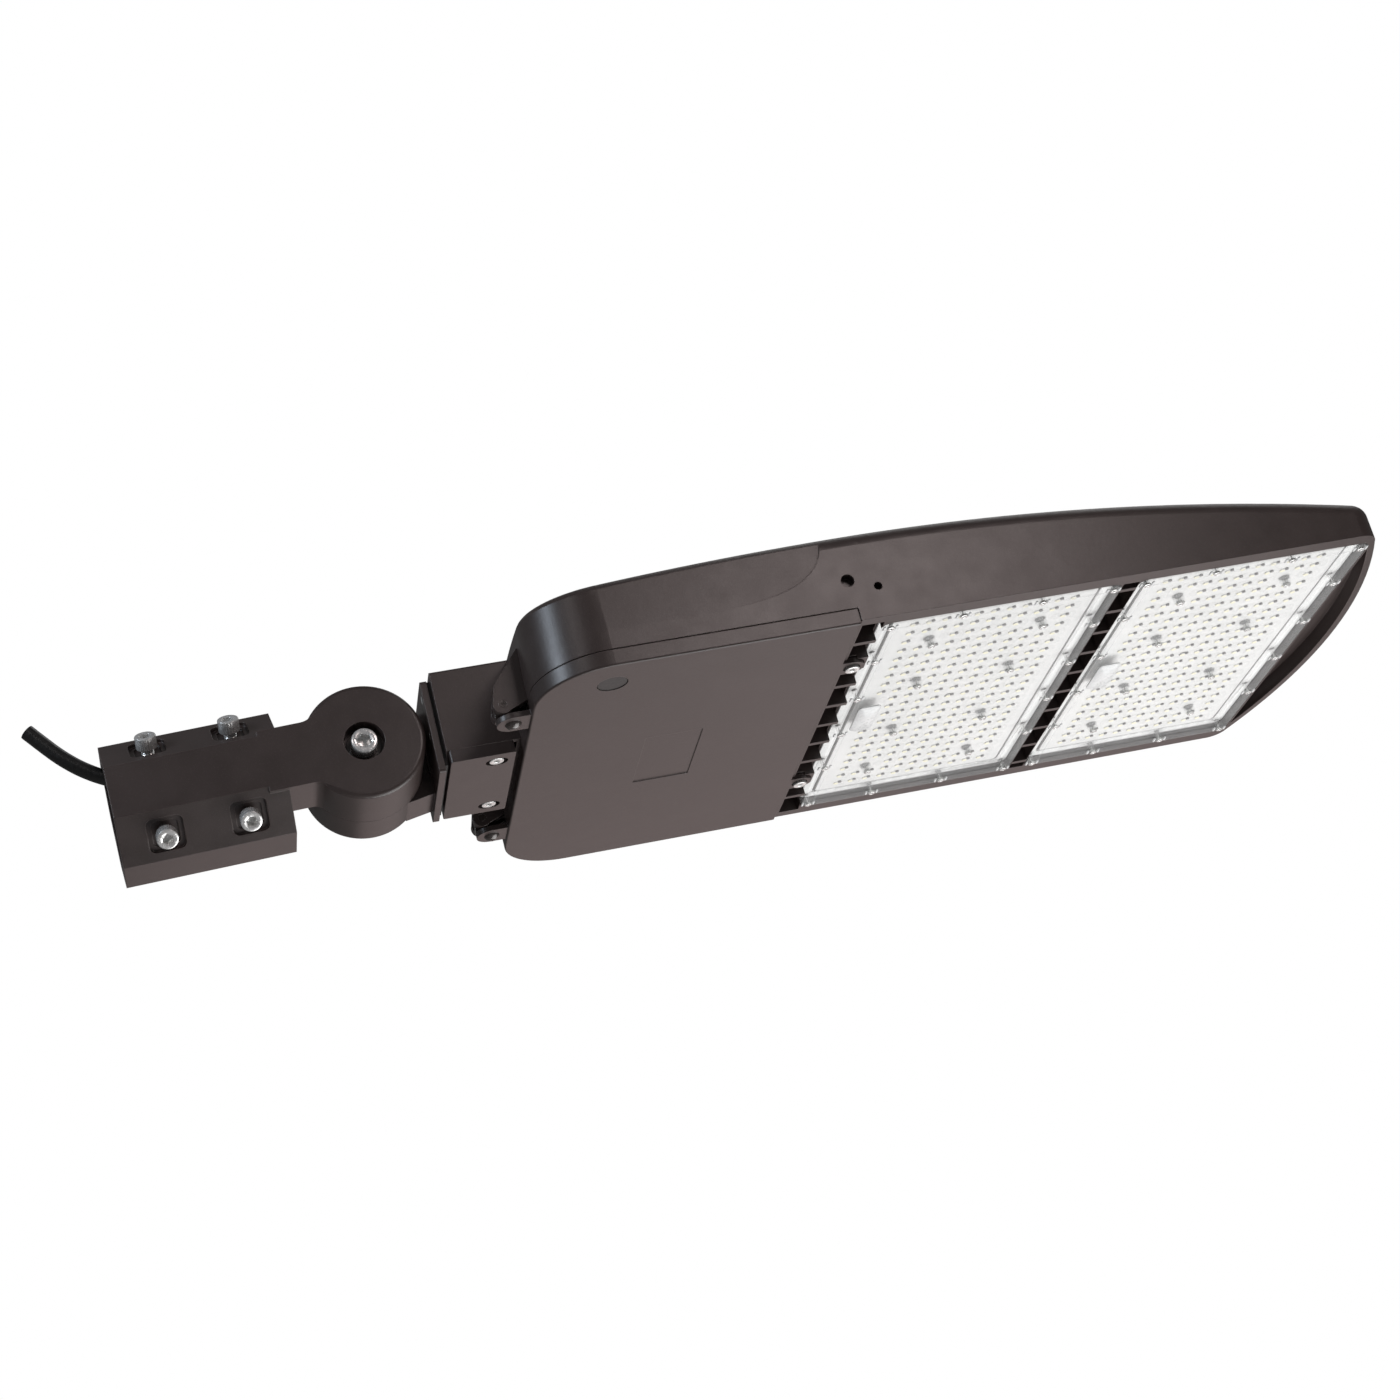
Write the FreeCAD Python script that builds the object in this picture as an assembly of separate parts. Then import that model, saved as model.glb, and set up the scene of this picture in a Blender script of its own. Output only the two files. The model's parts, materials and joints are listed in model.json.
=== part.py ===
"""Area street light: a flat LED head on a tilting knuckle with an octagonal slip fitter.

Frame: origin at the centre of the slip fitter's mouth, +X towards the lamp's nose, +Z up.
The head lies level. The slip fitter points slightly down, as on an upswept pole arm.
All sizes are in millimetres.
"""

import FreeCAD, Part

import math
import os

V = FreeCAD.Vector

# Small gaps shared by every fit
SEAM = 0.6            # painted castings that close on each other
TOUCH = 0.3           # neighbours on different moving bodies
RUNNING = 0.06        # radial clearance of a pin that turns
THREAD = 0.08         # radial clearance that stands for a thread
HOLE = 0.4            # radial clearance of a screw in a plain hole
NEAR = 0.01           # lengths closer than this count as equal

# Slip fitter: octagonal socket for a 60.3 mm tenon
BORE_R = 31.2
BORE_DEPTH = 96.0
FITTER_WALL = 8.8     # bore to the octagon's flats
FITTER_END = 8.0      # thickness of the socket's end wall
FITTER_TILT = 2.07    # degrees, mouth end low
FITTER_HALF = BORE_R + FITTER_WALL
FITTER_FLATS = 2 * FITTER_HALF
FITTER_LENGTH = BORE_DEPTH + FITTER_END
CABLE_HOLE_R = 9.0
CABLE_EXIT = 4.0      # cable hole past the socket's end
GROMMET_LIP_W = 3.0
GROMMET_LIP_T = 2.0
SET_SCREW_X = (28.0, 78.0)
SET_SCREW_SIDES = (1, -1)
SET_POCKET = 22.0
SET_POCKET_R = 4.0
SET_POCKET_DEPTH = 2.4
SET_POCKET_STEP = 1.2  # the inner pocket is deeper by this
SET_POCKET_RIM = 1.5   # inner pocket round the screw's head
M8_R = 4.0
M8_HEAD_R = 6.5
M8_HEAD_H = 8.0
M8_KEY = 6.0
SET_SCREW_GAP = 4.0   # head to pocket floor when slack

# Knuckle
KNUCKLE_R = 37.0
KNUCKLE_GAP = 13.0    # socket's end to the arm's disc
EAR_T = FITTER_HALF   # fitter side cheek, flush with the octagon
ARM_T = 31.0          # head side cheek
WEB_HALF = 0.54 * KNUCKLE_R
WEB_LAP = 12.0        # how far the web runs into the socket
WEB_FILLET = 0.24 * KNUCKLE_R
EDGE_R = 3.0
TEETH = 40
TOOTH_SHARE = 0.98    # share of the pitch that each groove takes
TOOTH_H = 0.7
TOOTH_OVERCUT = 0.01  # grooves start this far outside the face
TOOTH_R_IN = 16.0
TOOTH_RIM = 2.0       # plain rim outside the teeth
TOOTH_R_OUT = KNUCKLE_R - TOOTH_RIM
M10_R = 5.0
M10_HEAD_R = 8.0
M10_HEAD_H = 10.0
M10_KEY = 8.0
M10_SPARE = 2.0       # thread that stands out of the nut
COUNTERBORE_R = 12.5
COUNTERBORE_DEPTH = 11.0
NUT_FLATS = 17.0
NUT_H = 8.0
WASHER_R = 10.5
WASHER_T = 2.0
FLANGE_T = 4.0
FLANGE_INSET = 4.5    # flange narrower than the neck, each side
FLANGE_DROP = 3.0     # flange edge below the neck's edge
FLANGE_CORNER_R = 2.0
GASKET_T = 2.0
GASKET_INSET = 1.0
GASKET_FOOT = 1.0     # gasket stops this far above the rim
ARM_ANGLE = 52.0      # degrees, where the arm leaves the disc
ARM_EDGE = 4.0        # arm's outline inside the flange's edges
ARM_SCREW_INSET = 9.0
ARM_CABLE_R = 10.0
ARM_CABLE_Y = 15.0
ARM_CABLE_Z = 8.0
RIB_Y = (-4.0, 2.0)
RIB_OUTLINE_Z = ((-6.0, 18.0), (-16.0, 28.0))
CABLE_R = 4.8
PIVOT_X = FITTER_LENGTH + KNUCKLE_GAP + KNUCKLE_R

# Neck
NECK_GAP = 9.1        # disc to the neck's rear face
NECK_LENGTH = 46.0
NECK_HALF_Y = 46.5
NECK_TOP = 40.0
NECK_WALL = 4.0
NECK_EDGE_R = 1.5
COVER_H = 8.0
COVER_WALL = 3.0
COVER_SETBACK = 1.5   # cover's rear edge in from the neck's
COVER_GAP_X = 4.6     # cover to door
COVER_SCREW_INSET = 11.2
COVER_SCREW_X = 30.2  # from the neck's rear face
COVER_SCREW_GRIP = 4.0
SLOT_LENGTH = 14.0
BOSS_H = 9.0
BOSS_HALF = 5.0
M5_R = 2.5
M5_HEAD_R = 4.6
M5_HEAD_H = 3.0
M5_KEY = 3.0

# Housing. Heights are given from the rim up
RIM_Z = -21.0
HEAD_HALF_Y = 156.5
REAR_CORNER_R = 45.0
NOSE_LENGTH = 28.0    # front lens to the nose's tip
NOSE_SAGITTA = 28.7   # how far the nose bows forward
NOSE_CORNER_R = 12.0
CREST_SETBACK = 204.0  # rear face to the roof's crest
CREST_EDGE_Z = 36.0   # top at the side edges
REAR_DROP = 8.87      # roof's fall from the crest to the rear face
NOSE_DROP = 41.66     # roof's fall from the crest to the nose
CROWN = 15.0
TOP_FILLET = 10.0
WALL = 3.5
HOOD_DRAFT = 2.2      # how far the rear hood's wall leans in
HOOD_SEAM_Z = -1.0
HOOD_TOP_MARGIN = 25.0
ROOF_OVERRUN = 1.2    # roof swept past the head's ends, then trimmed
CREASE = ((-12.0, 36.0), (-18.0, 18.0), (-31.0, 8.5), (-49.0, 3.0), (-79.0, HOOD_SEAM_Z))

# Door
DOOR_LENGTH = 193.0
DOOR_Z = RIM_Z - 2.0  # lower face
DOOR_T = 3.0
DOOR_TOP_Z = RIM_Z + COVER_H  # top of the skirt
DOOR_EDGE_R = 1.2
SKIRT_T = 3.0
LEDGE_W = 8.0
LEDGE_T = 3.0
SILL_REACH = 2.0      # neck's sill behind the head's rear face
SEAT_START = 1.5      # seal seat in from the skirt
SEAT_W = 5.0
SEAL_H = 3.5
SEAL_INSET = 0.5
DOOR_LUG_R = 8.0
DOOR_SCREW_SETOUT = 6.5  # screws in front of the door's edge
DOOR_SCREW_INSET = 64.5  # screws in from the head's sides
DOOR_LUG_T = 3.5
DOOR_HEAD_SINK = 1.2
DOOR_SCREW_GRIP = 6.0  # length of screw above the lug's gap
DOOR_SCREW_PLAY = 0.7  # floating nut
DOOR_SCREW_END = 3.0  # hole past the screw's end
RETAINER_T = 0.5
RETAINER_W = 2.5
PLUG_R = 9.0
PLUG_STEM_R = 6.0
PLUG_INSET = (45.5, 26.5)  # from the head's rear face and near side
PLUG_SINK = 1.6
PLUG_CAP_T = 1.2
PLATE_PAD = (77.5, 114.0, 36.0)  # from, to, half width
PLATE_PAD_DEPTH = 0.6
HINGE_SETBACK = 15.0  # pin behind the head's rear face
HINGE_INSET = 65.5    # hinges in from the head's sides
HINGE_RISE = 9.5      # pin above the rim
HINGE_PIN_R = 2.5
EAR_R = 6.0
EAR_HALF = 10.0
EAR_SLOT = 8.0
EAR_GUSSET_Z = 43.0   # top of the gusset above the rim
BLOCK_GAP = 0.3
BLOCK_EYE_R = 5.0
TONGUE_SETBACK = 10.0
TONGUE_R = 10.0
TONGUE_T = 3.5
TONGUE_RISE = 1.5     # tongue above the door's face
M4_R = 2.0
M4_GRIP = 4.0
DOME_R = 5.2
DOME_H = 3.4

# LED modules
MODULE_COUNT = 2
MODULE_LENGTH = 151.5
MODULE_GAP = 12.5
SIDE_RAIL = 11.9      # rim beside the modules
MODULE_CORNER_R = 6.0
RECESS_GAP = 0.8
BOARD_RISE = 7.2      # board seat above the rim
BOARD_T = 1.6
BOARD_INSET = 10.0
SINK_T = 6.0
LENS_DROP = 0.4       # lens frame below the rim
LENS_FRAME_W = 8.5
LENS_FRAME_STEP = 1.0
LENS_T = 2.0
LENS_INNER_R = 3.0
LENS_GASKET_T = 1.2
LENS_GASKET_INSET = 0.5
LENS_SCREW_INSET = 4.6
LENS_SCREW_PITCH = 56.0
LENS_SCREW_SHIFT = -8.0
M3_R = 1.5
M3_HEAD_R = 2.7
M3_HEAD_H = 1.6
M3_KEY = 2.0
M3_GRIP = 3.0
LED_PITCH_X = 10.35
LED_PITCH_Y = 12.5
INNER_SCREW_SITES = ((-3.5, 8), (3.5, 8), (-3, 3), (3, 3))  # in LED pitches from the middle
WIRE_HOLE_R = 4.0

# Cooling slots and fins
SLOT_SETOUT = 2.3     # rear slot in front of the door
REAR_SLOT_W = 13.9
SLOT_SIDE = 7.5       # slot ends in from the head's sides
RIB_T = 3.5
RIB_STEP = 30.0
LUG_GAP = 0.2
OUTER_RIB_INSET = 34.5
MID_SLOT_MARGIN = 1.0
FIN_PITCH = 15.0
FIN_T = 3.0
FIN_SETBACK = 37.5    # fins end behind the nose's tip
FIN_TAPER = 0.08
SCOOP_LIP = 4.5
SCOOP_DEPTH = 10.0
SCOOP_BEND = 0.72     # share of the depth reached at the bend
SCOOP_RUN = (1.0, 7.0, 17.0)
SIDE_HOLES = ((-1.0, 26.7, 4.0), (16.2, 20.3, 2.5))  # from the door's edge, above the rim, radius
SIDE_HOLE_DEPTH = 6.0

# Inside the driver bay
PLATE_RISE = 43.0
PLATE_T = 1.5
PLATE_MARGIN = (16.0, 13.0)
PLATE_LAP = 14.0      # plate beyond its posts
POST_R = 5.0
POST_MARGIN = (24.0, 21.0)
POST_INSET = 52.5
DRIVER_MARGIN = 25.0
DRIVER_W = 68.0
DRIVER_POST_GAP = 9.0
DRIVER_H = 34.0
DRIVER_GROOVES = 9
SURGE_MARGIN = 26.0
SURGE_DRIVER_GAP = 20.0
SURGE_Y0 = 20.0
SURGE_POST_GAP = 20.0
SURGE_H = 26.0
TERMINAL_MARGIN = 30.0
TERMINAL_L = 24.0
TERMINAL_Y = (-62.0, -14.0)
TERMINAL_H = 18.0
POLES = 4
WIRE_R = 1.6
WIRE_DROP = 9.0       # wires below the gear plate
INNER_CABLE_R = 3.6
PLATE_SCREW_L = 8.0
PLATE_HEAD_R = 3.8
PLATE_HEAD_H = 2.6
PLATE_KEY = 2.5

# Supply cord: centre line, from the grommet out of the mouth to its cut end
CORD_POINTS = (
    (105.5, 0.0, 3.9), (90.0, -0.3, 3.6), (66.0, -1.8, 6.0), (42.0, -3.6, 11.3), (20.0, -5.4, 17.0),
    (2.0, -6.0, 22.8), (-12.0, -6.5, 31.2), (-23.5, -7.0, 41.2), (-33.0, -7.5, 52.0), (-41.0, -8.0, 61.5),
)
CORD_BEND_SHARE = 0.45  # share of the shorter run that each bend takes

# Places that follow from the sizes above
PIVOT = V(PIVOT_X * math.cos(math.radians(FITTER_TILT)), 0, PIVOT_X * math.sin(math.radians(FITTER_TILT)))
NECK_X = PIVOT.x + KNUCKLE_R + NECK_GAP
HEAD_X = NECK_X + NECK_LENGTH
DOOR_FRONT_X = HEAD_X + DOOR_LENGTH
SLOT_X = (DOOR_FRONT_X + SLOT_SETOUT, DOOR_FRONT_X + SLOT_SETOUT + REAR_SLOT_W)
MODULE_X = SLOT_X[1] + RECESS_GAP
MODULES = [MODULE_X + k * (MODULE_LENGTH + MODULE_GAP) for k in range(MODULE_COUNT)]
MODULE_HALF_Y = HEAD_HALF_Y - SIDE_RAIL
NOSE_X = MODULES[-1] + MODULE_LENGTH + NOSE_LENGTH
CREST_X = HEAD_X + CREST_SETBACK
COVER_TOP_Z = RIM_Z + COVER_H
COVER_SCREW_Y = NECK_HALF_Y - COVER_SCREW_INSET
FLANGE_HALF_Y = NECK_HALF_Y - FLANGE_INSET
FLANGE_X = NECK_X - GASKET_T - FLANGE_T
FLANGE_Z = (RIM_Z - FLANGE_DROP, NECK_TOP - FLANGE_DROP)
ARM_SCREW_Y = FLANGE_HALF_Y - ARM_SCREW_INSET
ARM_SCREW_Z = (COVER_TOP_Z + 17, NECK_TOP - NECK_WALL - 8)
DOOR_SCREW_X = DOOR_FRONT_X + DOOR_SCREW_SETOUT
DOOR_SCREW_Y = HEAD_HALF_Y - DOOR_SCREW_INSET
DOOR_SEAT_Z = DOOR_TOP_Z - SEAL_H
LUG_TOP_Z = DOOR_Z + DOOR_LUG_T
PLUG_X = HEAD_X + PLUG_INSET[0]
PLUG_Y = PLUG_INSET[1] - HEAD_HALF_Y
HINGE_X = HEAD_X - HINGE_SETBACK
HINGE_Y = HEAD_HALF_Y - HINGE_INSET
HINGE_Z = RIM_Z + HINGE_RISE
TONGUE_X = HEAD_X - TONGUE_SETBACK
TONGUE_Z = DOOR_Z + TONGUE_RISE
TONGUE_TOP_Z = TONGUE_Z + TONGUE_T
BOARD_SEAT_Z = RIM_Z + BOARD_RISE
SINK_TOP_Z = BOARD_SEAT_Z + SINK_T
LENS_Z = RIM_Z - LENS_DROP
LENS_TOP_Z = BOARD_SEAT_Z - LENS_GASKET_T
CREST_Z = CREST_EDGE_Z + CROWN
SLOT_HALF_Y = HEAD_HALF_Y - SLOT_SIDE
OUTER_RIB_Y = HEAD_HALF_Y - OUTER_RIB_INSET
FIN_COUNT_SIDE = int(HEAD_HALF_Y // FIN_PITCH)
FIN_END_X = NOSE_X - FIN_SETBACK
PLATE_Z = RIM_Z + PLATE_RISE
PLATE_X = (HEAD_X + PLATE_MARGIN[0], DOOR_FRONT_X - PLATE_MARGIN[1])
POST_X = (HEAD_X + POST_MARGIN[0], DOOR_FRONT_X - POST_MARGIN[1])
POST_Y = HEAD_HALF_Y - POST_INSET
PLATE_HALF_Y = POST_Y + PLATE_LAP
DRIVER = (DOOR_FRONT_X - DRIVER_MARGIN - DRIVER_W, DOOR_FRONT_X - DRIVER_MARGIN,
          DRIVER_POST_GAP - POST_Y, POST_Y - DRIVER_POST_GAP)
SURGE = (HEAD_X + SURGE_MARGIN, DRIVER[0] - SURGE_DRIVER_GAP, SURGE_Y0, POST_Y - SURGE_POST_GAP)
TERMINAL = (HEAD_X + TERMINAL_MARGIN, HEAD_X + TERMINAL_MARGIN + TERMINAL_L, *TERMINAL_Y)


def box(x0, x1, y0, y1, z0, z1):
    """A block between two corners."""
    return Part.makeBox(x1 - x0, y1 - y0, z1 - z0, V(x0, y0, z0))


def rod(radius, start, end):
    """A solid cylinder between two points."""
    axis = V(*end) - V(*start)
    return Part.makeCylinder(radius, axis.Length, V(*start), axis)


def fuse(shapes):
    """One clean solid from touching shapes."""
    whole = shapes[0].multiFuse(shapes[1:]) if len(shapes) > 1 else shapes[0]
    return whole.removeSplitter()


def extrude_y(points, y0, y1):
    """A prism whose outline lies in XZ and whose length runs along Y."""
    wire = Part.makePolygon([V(x, y0, z) for x, z in points + points[:1]])
    return Part.Face(wire).extrude(V(0, y1 - y0, 0))


def is_along(edge, direction):
    """True when an edge is a straight line along a direction."""
    if not isinstance(edge.Curve, Part.Line):
        return False
    return abs(abs(edge.tangentAt(edge.FirstParameter).dot(direction)) - 1) < 1e-6


def round_edges(shape, radius, test):
    """Fillet the edges that a test picks."""
    edges = [edge for edge in shape.Edges if test(edge)]
    return shape.makeFillet(radius, edges) if edges else shape


def plate(x0, x1, half_y, z0, z1, rear_r, front_r):
    """A flat block with its rear and front upright corners rounded."""
    block = box(x0, x1, -half_y, half_y, z0, z1)
    up = V(0, 0, 1)
    middle = (x0 + x1) / 2
    for radius, rear in ((rear_r, True), (front_r, False)):
        if radius <= 0:
            continue
        block = round_edges(
            block, radius,
            lambda edge: is_along(edge, up) and (edge.CenterOfMass.x < middle) == rear
            and abs(abs(edge.CenterOfMass.y) - half_y) < NEAR)
    return block


def both_sides(shape):
    """A shape and its mirror image across the lamp's middle."""
    return [shape, shape.mirror(V(0, 0, 0), V(0, 1, 0))]


def cap_screw(head_r, head_h, shank_r, length, key, seat, outward):
    """A socket head screw; seat is under the head, outward points from shank to head."""
    head = Part.makeCylinder(head_r, head_h, seat, outward)
    head = head.makeChamfer(head_h * 0.08, [max(head.Edges, key=lambda e: e.CenterOfMass.dot(outward))])
    shank = Part.makeCylinder(shank_r, length, seat, outward * -1)
    side = outward.cross(V(1, 0, 0) if abs(outward.x) < 0.9 else V(0, 1, 0)).normalize()
    turn = FreeCAD.Rotation(outward, 60)
    corners = [side * (key / math.sqrt(3))]
    for _ in range(5):
        corners.append(turn.multVec(corners[-1]))
    floor = seat + outward * (head_h * 0.45)
    wire = Part.makePolygon([floor + corner for corner in corners + corners[:1]])
    socket = Part.Face(wire).extrude(outward * head_h)
    return fuse([head, shank]).cut(socket)


def ring(r_out, r_in, height, base, axis):
    """A flat washer."""
    return Part.makeCylinder(r_out, height, base, axis).cut(Part.makeCylinder(r_in, height, base, axis))


# ---------------------------------------------------------------- slip fitter


def on_fitter(shape):
    """Turn a shape built with the socket along X into the fitter's true direction."""
    turned = shape.copy()
    turned.rotate(V(0, 0, 0), V(0, 1, 0), -FITTER_TILT)
    return turned


def octagon_bar(flats, x0, x1):
    """An octagonal bar along X, with flats on top, below and at the sides."""
    radius = flats / 2 / math.cos(math.pi / 8)
    angles = [math.pi / 8 + k * math.pi / 4 for k in range(8)]
    ring_points = [V(x0, radius * math.cos(a), radius * math.sin(a)) for a in angles]
    wire = Part.makePolygon(ring_points + ring_points[:1])
    return Part.Face(wire).extrude(V(x1 - x0, 0, 0))


def disc(x, z, y0, y1, rounded_end):
    """A knuckle cheek: a disc along Y with one rounded rim."""
    shape = Part.makeCylinder(KNUCKLE_R, y1 - y0, V(x, y0, z), V(0, 1, 0))
    rim = [e for e in shape.Edges if abs(e.CenterOfMass.y - rounded_end) < NEAR and e.Closed]
    return shape.makeFillet(EDGE_R, rim)


def tooth_cuts(x, z, face_y, direction):
    """V grooves that leave radial teeth; direction points out of the toothed face."""
    cuts = []
    for k in range(TEETH):
        half = math.pi / TEETH * TOOTH_SHARE
        tip = V(0, -direction * TOOTH_H, 0)
        points = []
        for radius in (TOOTH_R_IN, TOOTH_R_OUT):
            side = radius * math.tan(half)
            mouth_y = TOOTH_OVERCUT * direction
            points.append([V(radius, mouth_y, -side), V(radius, mouth_y, side), V(radius, 0, 0) + tip])
        wires = [Part.makePolygon(p + p[:1]) for p in points]
        groove = Part.makeLoft(wires, True, True)
        groove.rotate(V(0, 0, 0), V(0, 1, 0), 360.0 * k / TEETH)
        groove.translate(V(x, face_y, z))
        cuts.append(groove)
    return Part.makeCompound(cuts)


def set_screw_frame(side):
    """Outward direction of one 45 degree face of the octagon on the near side."""
    return V(0, -1, side).normalize()


def set_screw_pocket(x, side):
    """A stepped square pocket in a 45 degree face with the screw's hole through it."""
    outward = set_screw_frame(side)
    face = V(x, 0, 0) + outward * FITTER_HALF
    corner = V(-SET_POCKET / 2, -SET_POCKET / 2, 0)
    pocket = Part.makeBox(SET_POCKET, SET_POCKET, SET_POCKET_DEPTH * 2, corner)
    pocket = round_edges(pocket, SET_POCKET_R, lambda e: is_along(e, V(0, 0, 1)))
    inner_half = M8_HEAD_R + SET_POCKET_RIM
    corner = V(-inner_half, -inner_half, -SET_POCKET_STEP)
    inner = Part.makeBox(inner_half * 2, inner_half * 2, SET_POCKET_DEPTH, corner)
    inner = round_edges(inner, SET_POCKET_R - 1, lambda e: is_along(e, V(0, 0, 1)))
    tool = pocket.fuse(inner)
    tool.Placement = FreeCAD.Placement(
        face - outward * SET_POCKET_DEPTH, FreeCAD.Rotation(V(1, 0, 0), V(0, 0, 0), outward, "ZXY"))
    hole = Part.makeCylinder(M8_R + THREAD, FITTER_HALF, V(x, 0, 0) + outward * (BORE_R - M8_R), outward)
    return [tool, hole]


def slip_fitter():
    """Octagonal socket, its end wall and the toothed cheek."""
    body = octagon_bar(FITTER_FLATS, 0, FITTER_LENGTH)
    web = box(FITTER_LENGTH - WEB_LAP, PIVOT_X, -EAR_T, -TOOTH_H / 2 - TOUCH, -WEB_HALF, WEB_HALF)
    cheek = disc(PIVOT_X, 0, -EAR_T, -TOUCH / 2, -EAR_T)
    joined = fuse([web, cheek])
    joined = round_edges(joined, WEB_FILLET, lambda e: (
        is_along(e, V(0, 1, 0)) and e.CenterOfMass.x > FITTER_LENGTH
        and abs(abs(e.CenterOfMass.z) - WEB_HALF) < NEAR))
    body = fuse([body, joined])
    cuts = [rod(BORE_R, (-1, 0, 0), (BORE_DEPTH, 0, 0)),
            rod(CABLE_HOLE_R, (0, 0, 0), (FITTER_LENGTH + CABLE_EXIT, 0, 0))]
    cuts.append(rod(KNUCKLE_R + 1.0, (PIVOT_X, -TOUCH / 2, 0), (PIVOT_X, FITTER_HALF + 1, 0)))
    cuts.append(rod(M10_R + HOLE, (PIVOT_X, -EAR_T - 1, 0), (PIVOT_X, 1, 0)))
    cuts.append(rod(COUNTERBORE_R, (PIVOT_X, -EAR_T - 1, 0), (PIVOT_X, -EAR_T + COUNTERBORE_DEPTH, 0)))
    cuts.append(tooth_cuts(PIVOT_X, 0, -TOUCH / 2, 1))
    for x in SET_SCREW_X:
        for side in SET_SCREW_SIDES:
            cuts.extend(set_screw_pocket(x, side))
    return on_fitter(body.cut(cuts))


def set_screw(x, side):
    """One clamping screw, slack, with its tip just outside the bore."""
    outward = set_screw_frame(side)
    seat_r = FITTER_HALF - SET_POCKET_DEPTH - SET_POCKET_STEP + SET_SCREW_GAP
    seat = V(x, 0, 0) + outward * seat_r
    return on_fitter(cap_screw(M8_HEAD_R, M8_HEAD_H, M8_R, seat_r - BORE_R - TOUCH, M8_KEY, seat, outward))


def cord_grommet():
    """Rubber grommet in the socket's end wall."""
    outer = rod(CABLE_HOLE_R, (BORE_DEPTH, 0, 0), (FITTER_LENGTH, 0, 0))
    lip = rod(CABLE_HOLE_R + GROMMET_LIP_W, (BORE_DEPTH - GROMMET_LIP_T, 0, 0), (BORE_DEPTH, 0, 0))
    body = on_fitter(fuse([outer, lip])).cut(supply_cord())
    return max(body.Solids, key=lambda s: s.Volume)


def cord_path(points):
    """Straight runs joined by tangent arcs, and the radius of each arc."""
    corners = [V(*p) for p in points]
    edges = []
    radii = []
    start = corners[0]
    for before, corner, after in zip(corners, corners[1:], corners[2:]):
        back = before - corner
        ahead = after - corner
        reach = CORD_BEND_SHARE * min(back.Length, ahead.Length)
        half_turn = (math.pi - back.getAngle(ahead)) / 2
        radius = reach / math.tan(half_turn)
        radii.append(radius)
        back.normalize()
        ahead.normalize()
        inward = (back + ahead).normalize()
        leave = corner + back * reach
        join = corner + ahead * reach
        middle = corner + inward * (radius / math.cos(half_turn) - radius)
        edges.append(Part.LineSegment(start, leave).toShape())
        edges.append(Part.Arc(leave, middle, join).toShape())
        start = join
    edges.append(Part.LineSegment(start, corners[-1]).toShape())
    return Part.Wire(edges), radii


def supply_cord():
    """Round supply cord along its hand-laid centre line."""
    spine, _ = cord_path(CORD_POINTS)
    start = V(*CORD_POINTS[0])
    profile = Part.Wire([Part.Circle(start, V(*CORD_POINTS[1]) - start, CABLE_R).toShape()])
    return spine.makePipeShell([profile], True, True)


def pivot_bolt():
    """M10 bolt through both cheeks, its head sunk in the fitter's cheek."""
    seat_y = -EAR_T + COUNTERBORE_DEPTH - WASHER_T
    length = ARM_T + WASHER_T + NUT_H + M10_SPARE - seat_y
    seat = V(PIVOT_X, seat_y, 0)
    return on_fitter(cap_screw(M10_HEAD_R, M10_HEAD_H, M10_R, length, M10_KEY, seat, V(0, -1, 0)))


def pivot_head_washer():
    """Flat washer under the bolt's head."""
    base = V(PIVOT_X, -EAR_T + COUNTERBORE_DEPTH - WASHER_T, 0)
    return on_fitter(ring(WASHER_R, M10_R, WASHER_T, base, V(0, 1, 0)))


def pivot_nut_washer():
    """Flat washer under the nut."""
    return on_fitter(ring(WASHER_R, M10_R, WASHER_T, V(PIVOT_X, ARM_T + TOUCH, 0), V(0, 1, 0)))


def pivot_nut():
    """Hexagon nut that clamps the knuckle."""
    radius = NUT_FLATS / math.sqrt(3)
    base = ARM_T + TOUCH + WASHER_T
    points = [V(PIVOT_X + radius * math.cos(k * math.pi / 3), base, radius * math.sin(k * math.pi / 3))
              for k in range(6)]
    nut = Part.Face(Part.makePolygon(points + points[:1])).extrude(V(0, NUT_H, 0))
    return on_fitter(nut.cut(rod(M10_R, (PIVOT_X, base - 1, 0), (PIVOT_X, base + NUT_H + 1, 0))))


# ---------------------------------------------------------------- knuckle arm and neck


def cable_passage(x0, x1):
    """Round way for the inner cable through the arm and the neck."""
    return rod(ARM_CABLE_R, (x0, ARM_CABLE_Y, ARM_CABLE_Z), (x1, ARM_CABLE_Y, ARM_CABLE_Z))


def arm_screw_holes(radius, x0, x1):
    """Rods on the flange's four screw centres."""
    return [rod(radius, (x0, y, z), (x1, y, z)) for y in (-ARM_SCREW_Y, ARM_SCREW_Y) for z in ARM_SCREW_Z]


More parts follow.
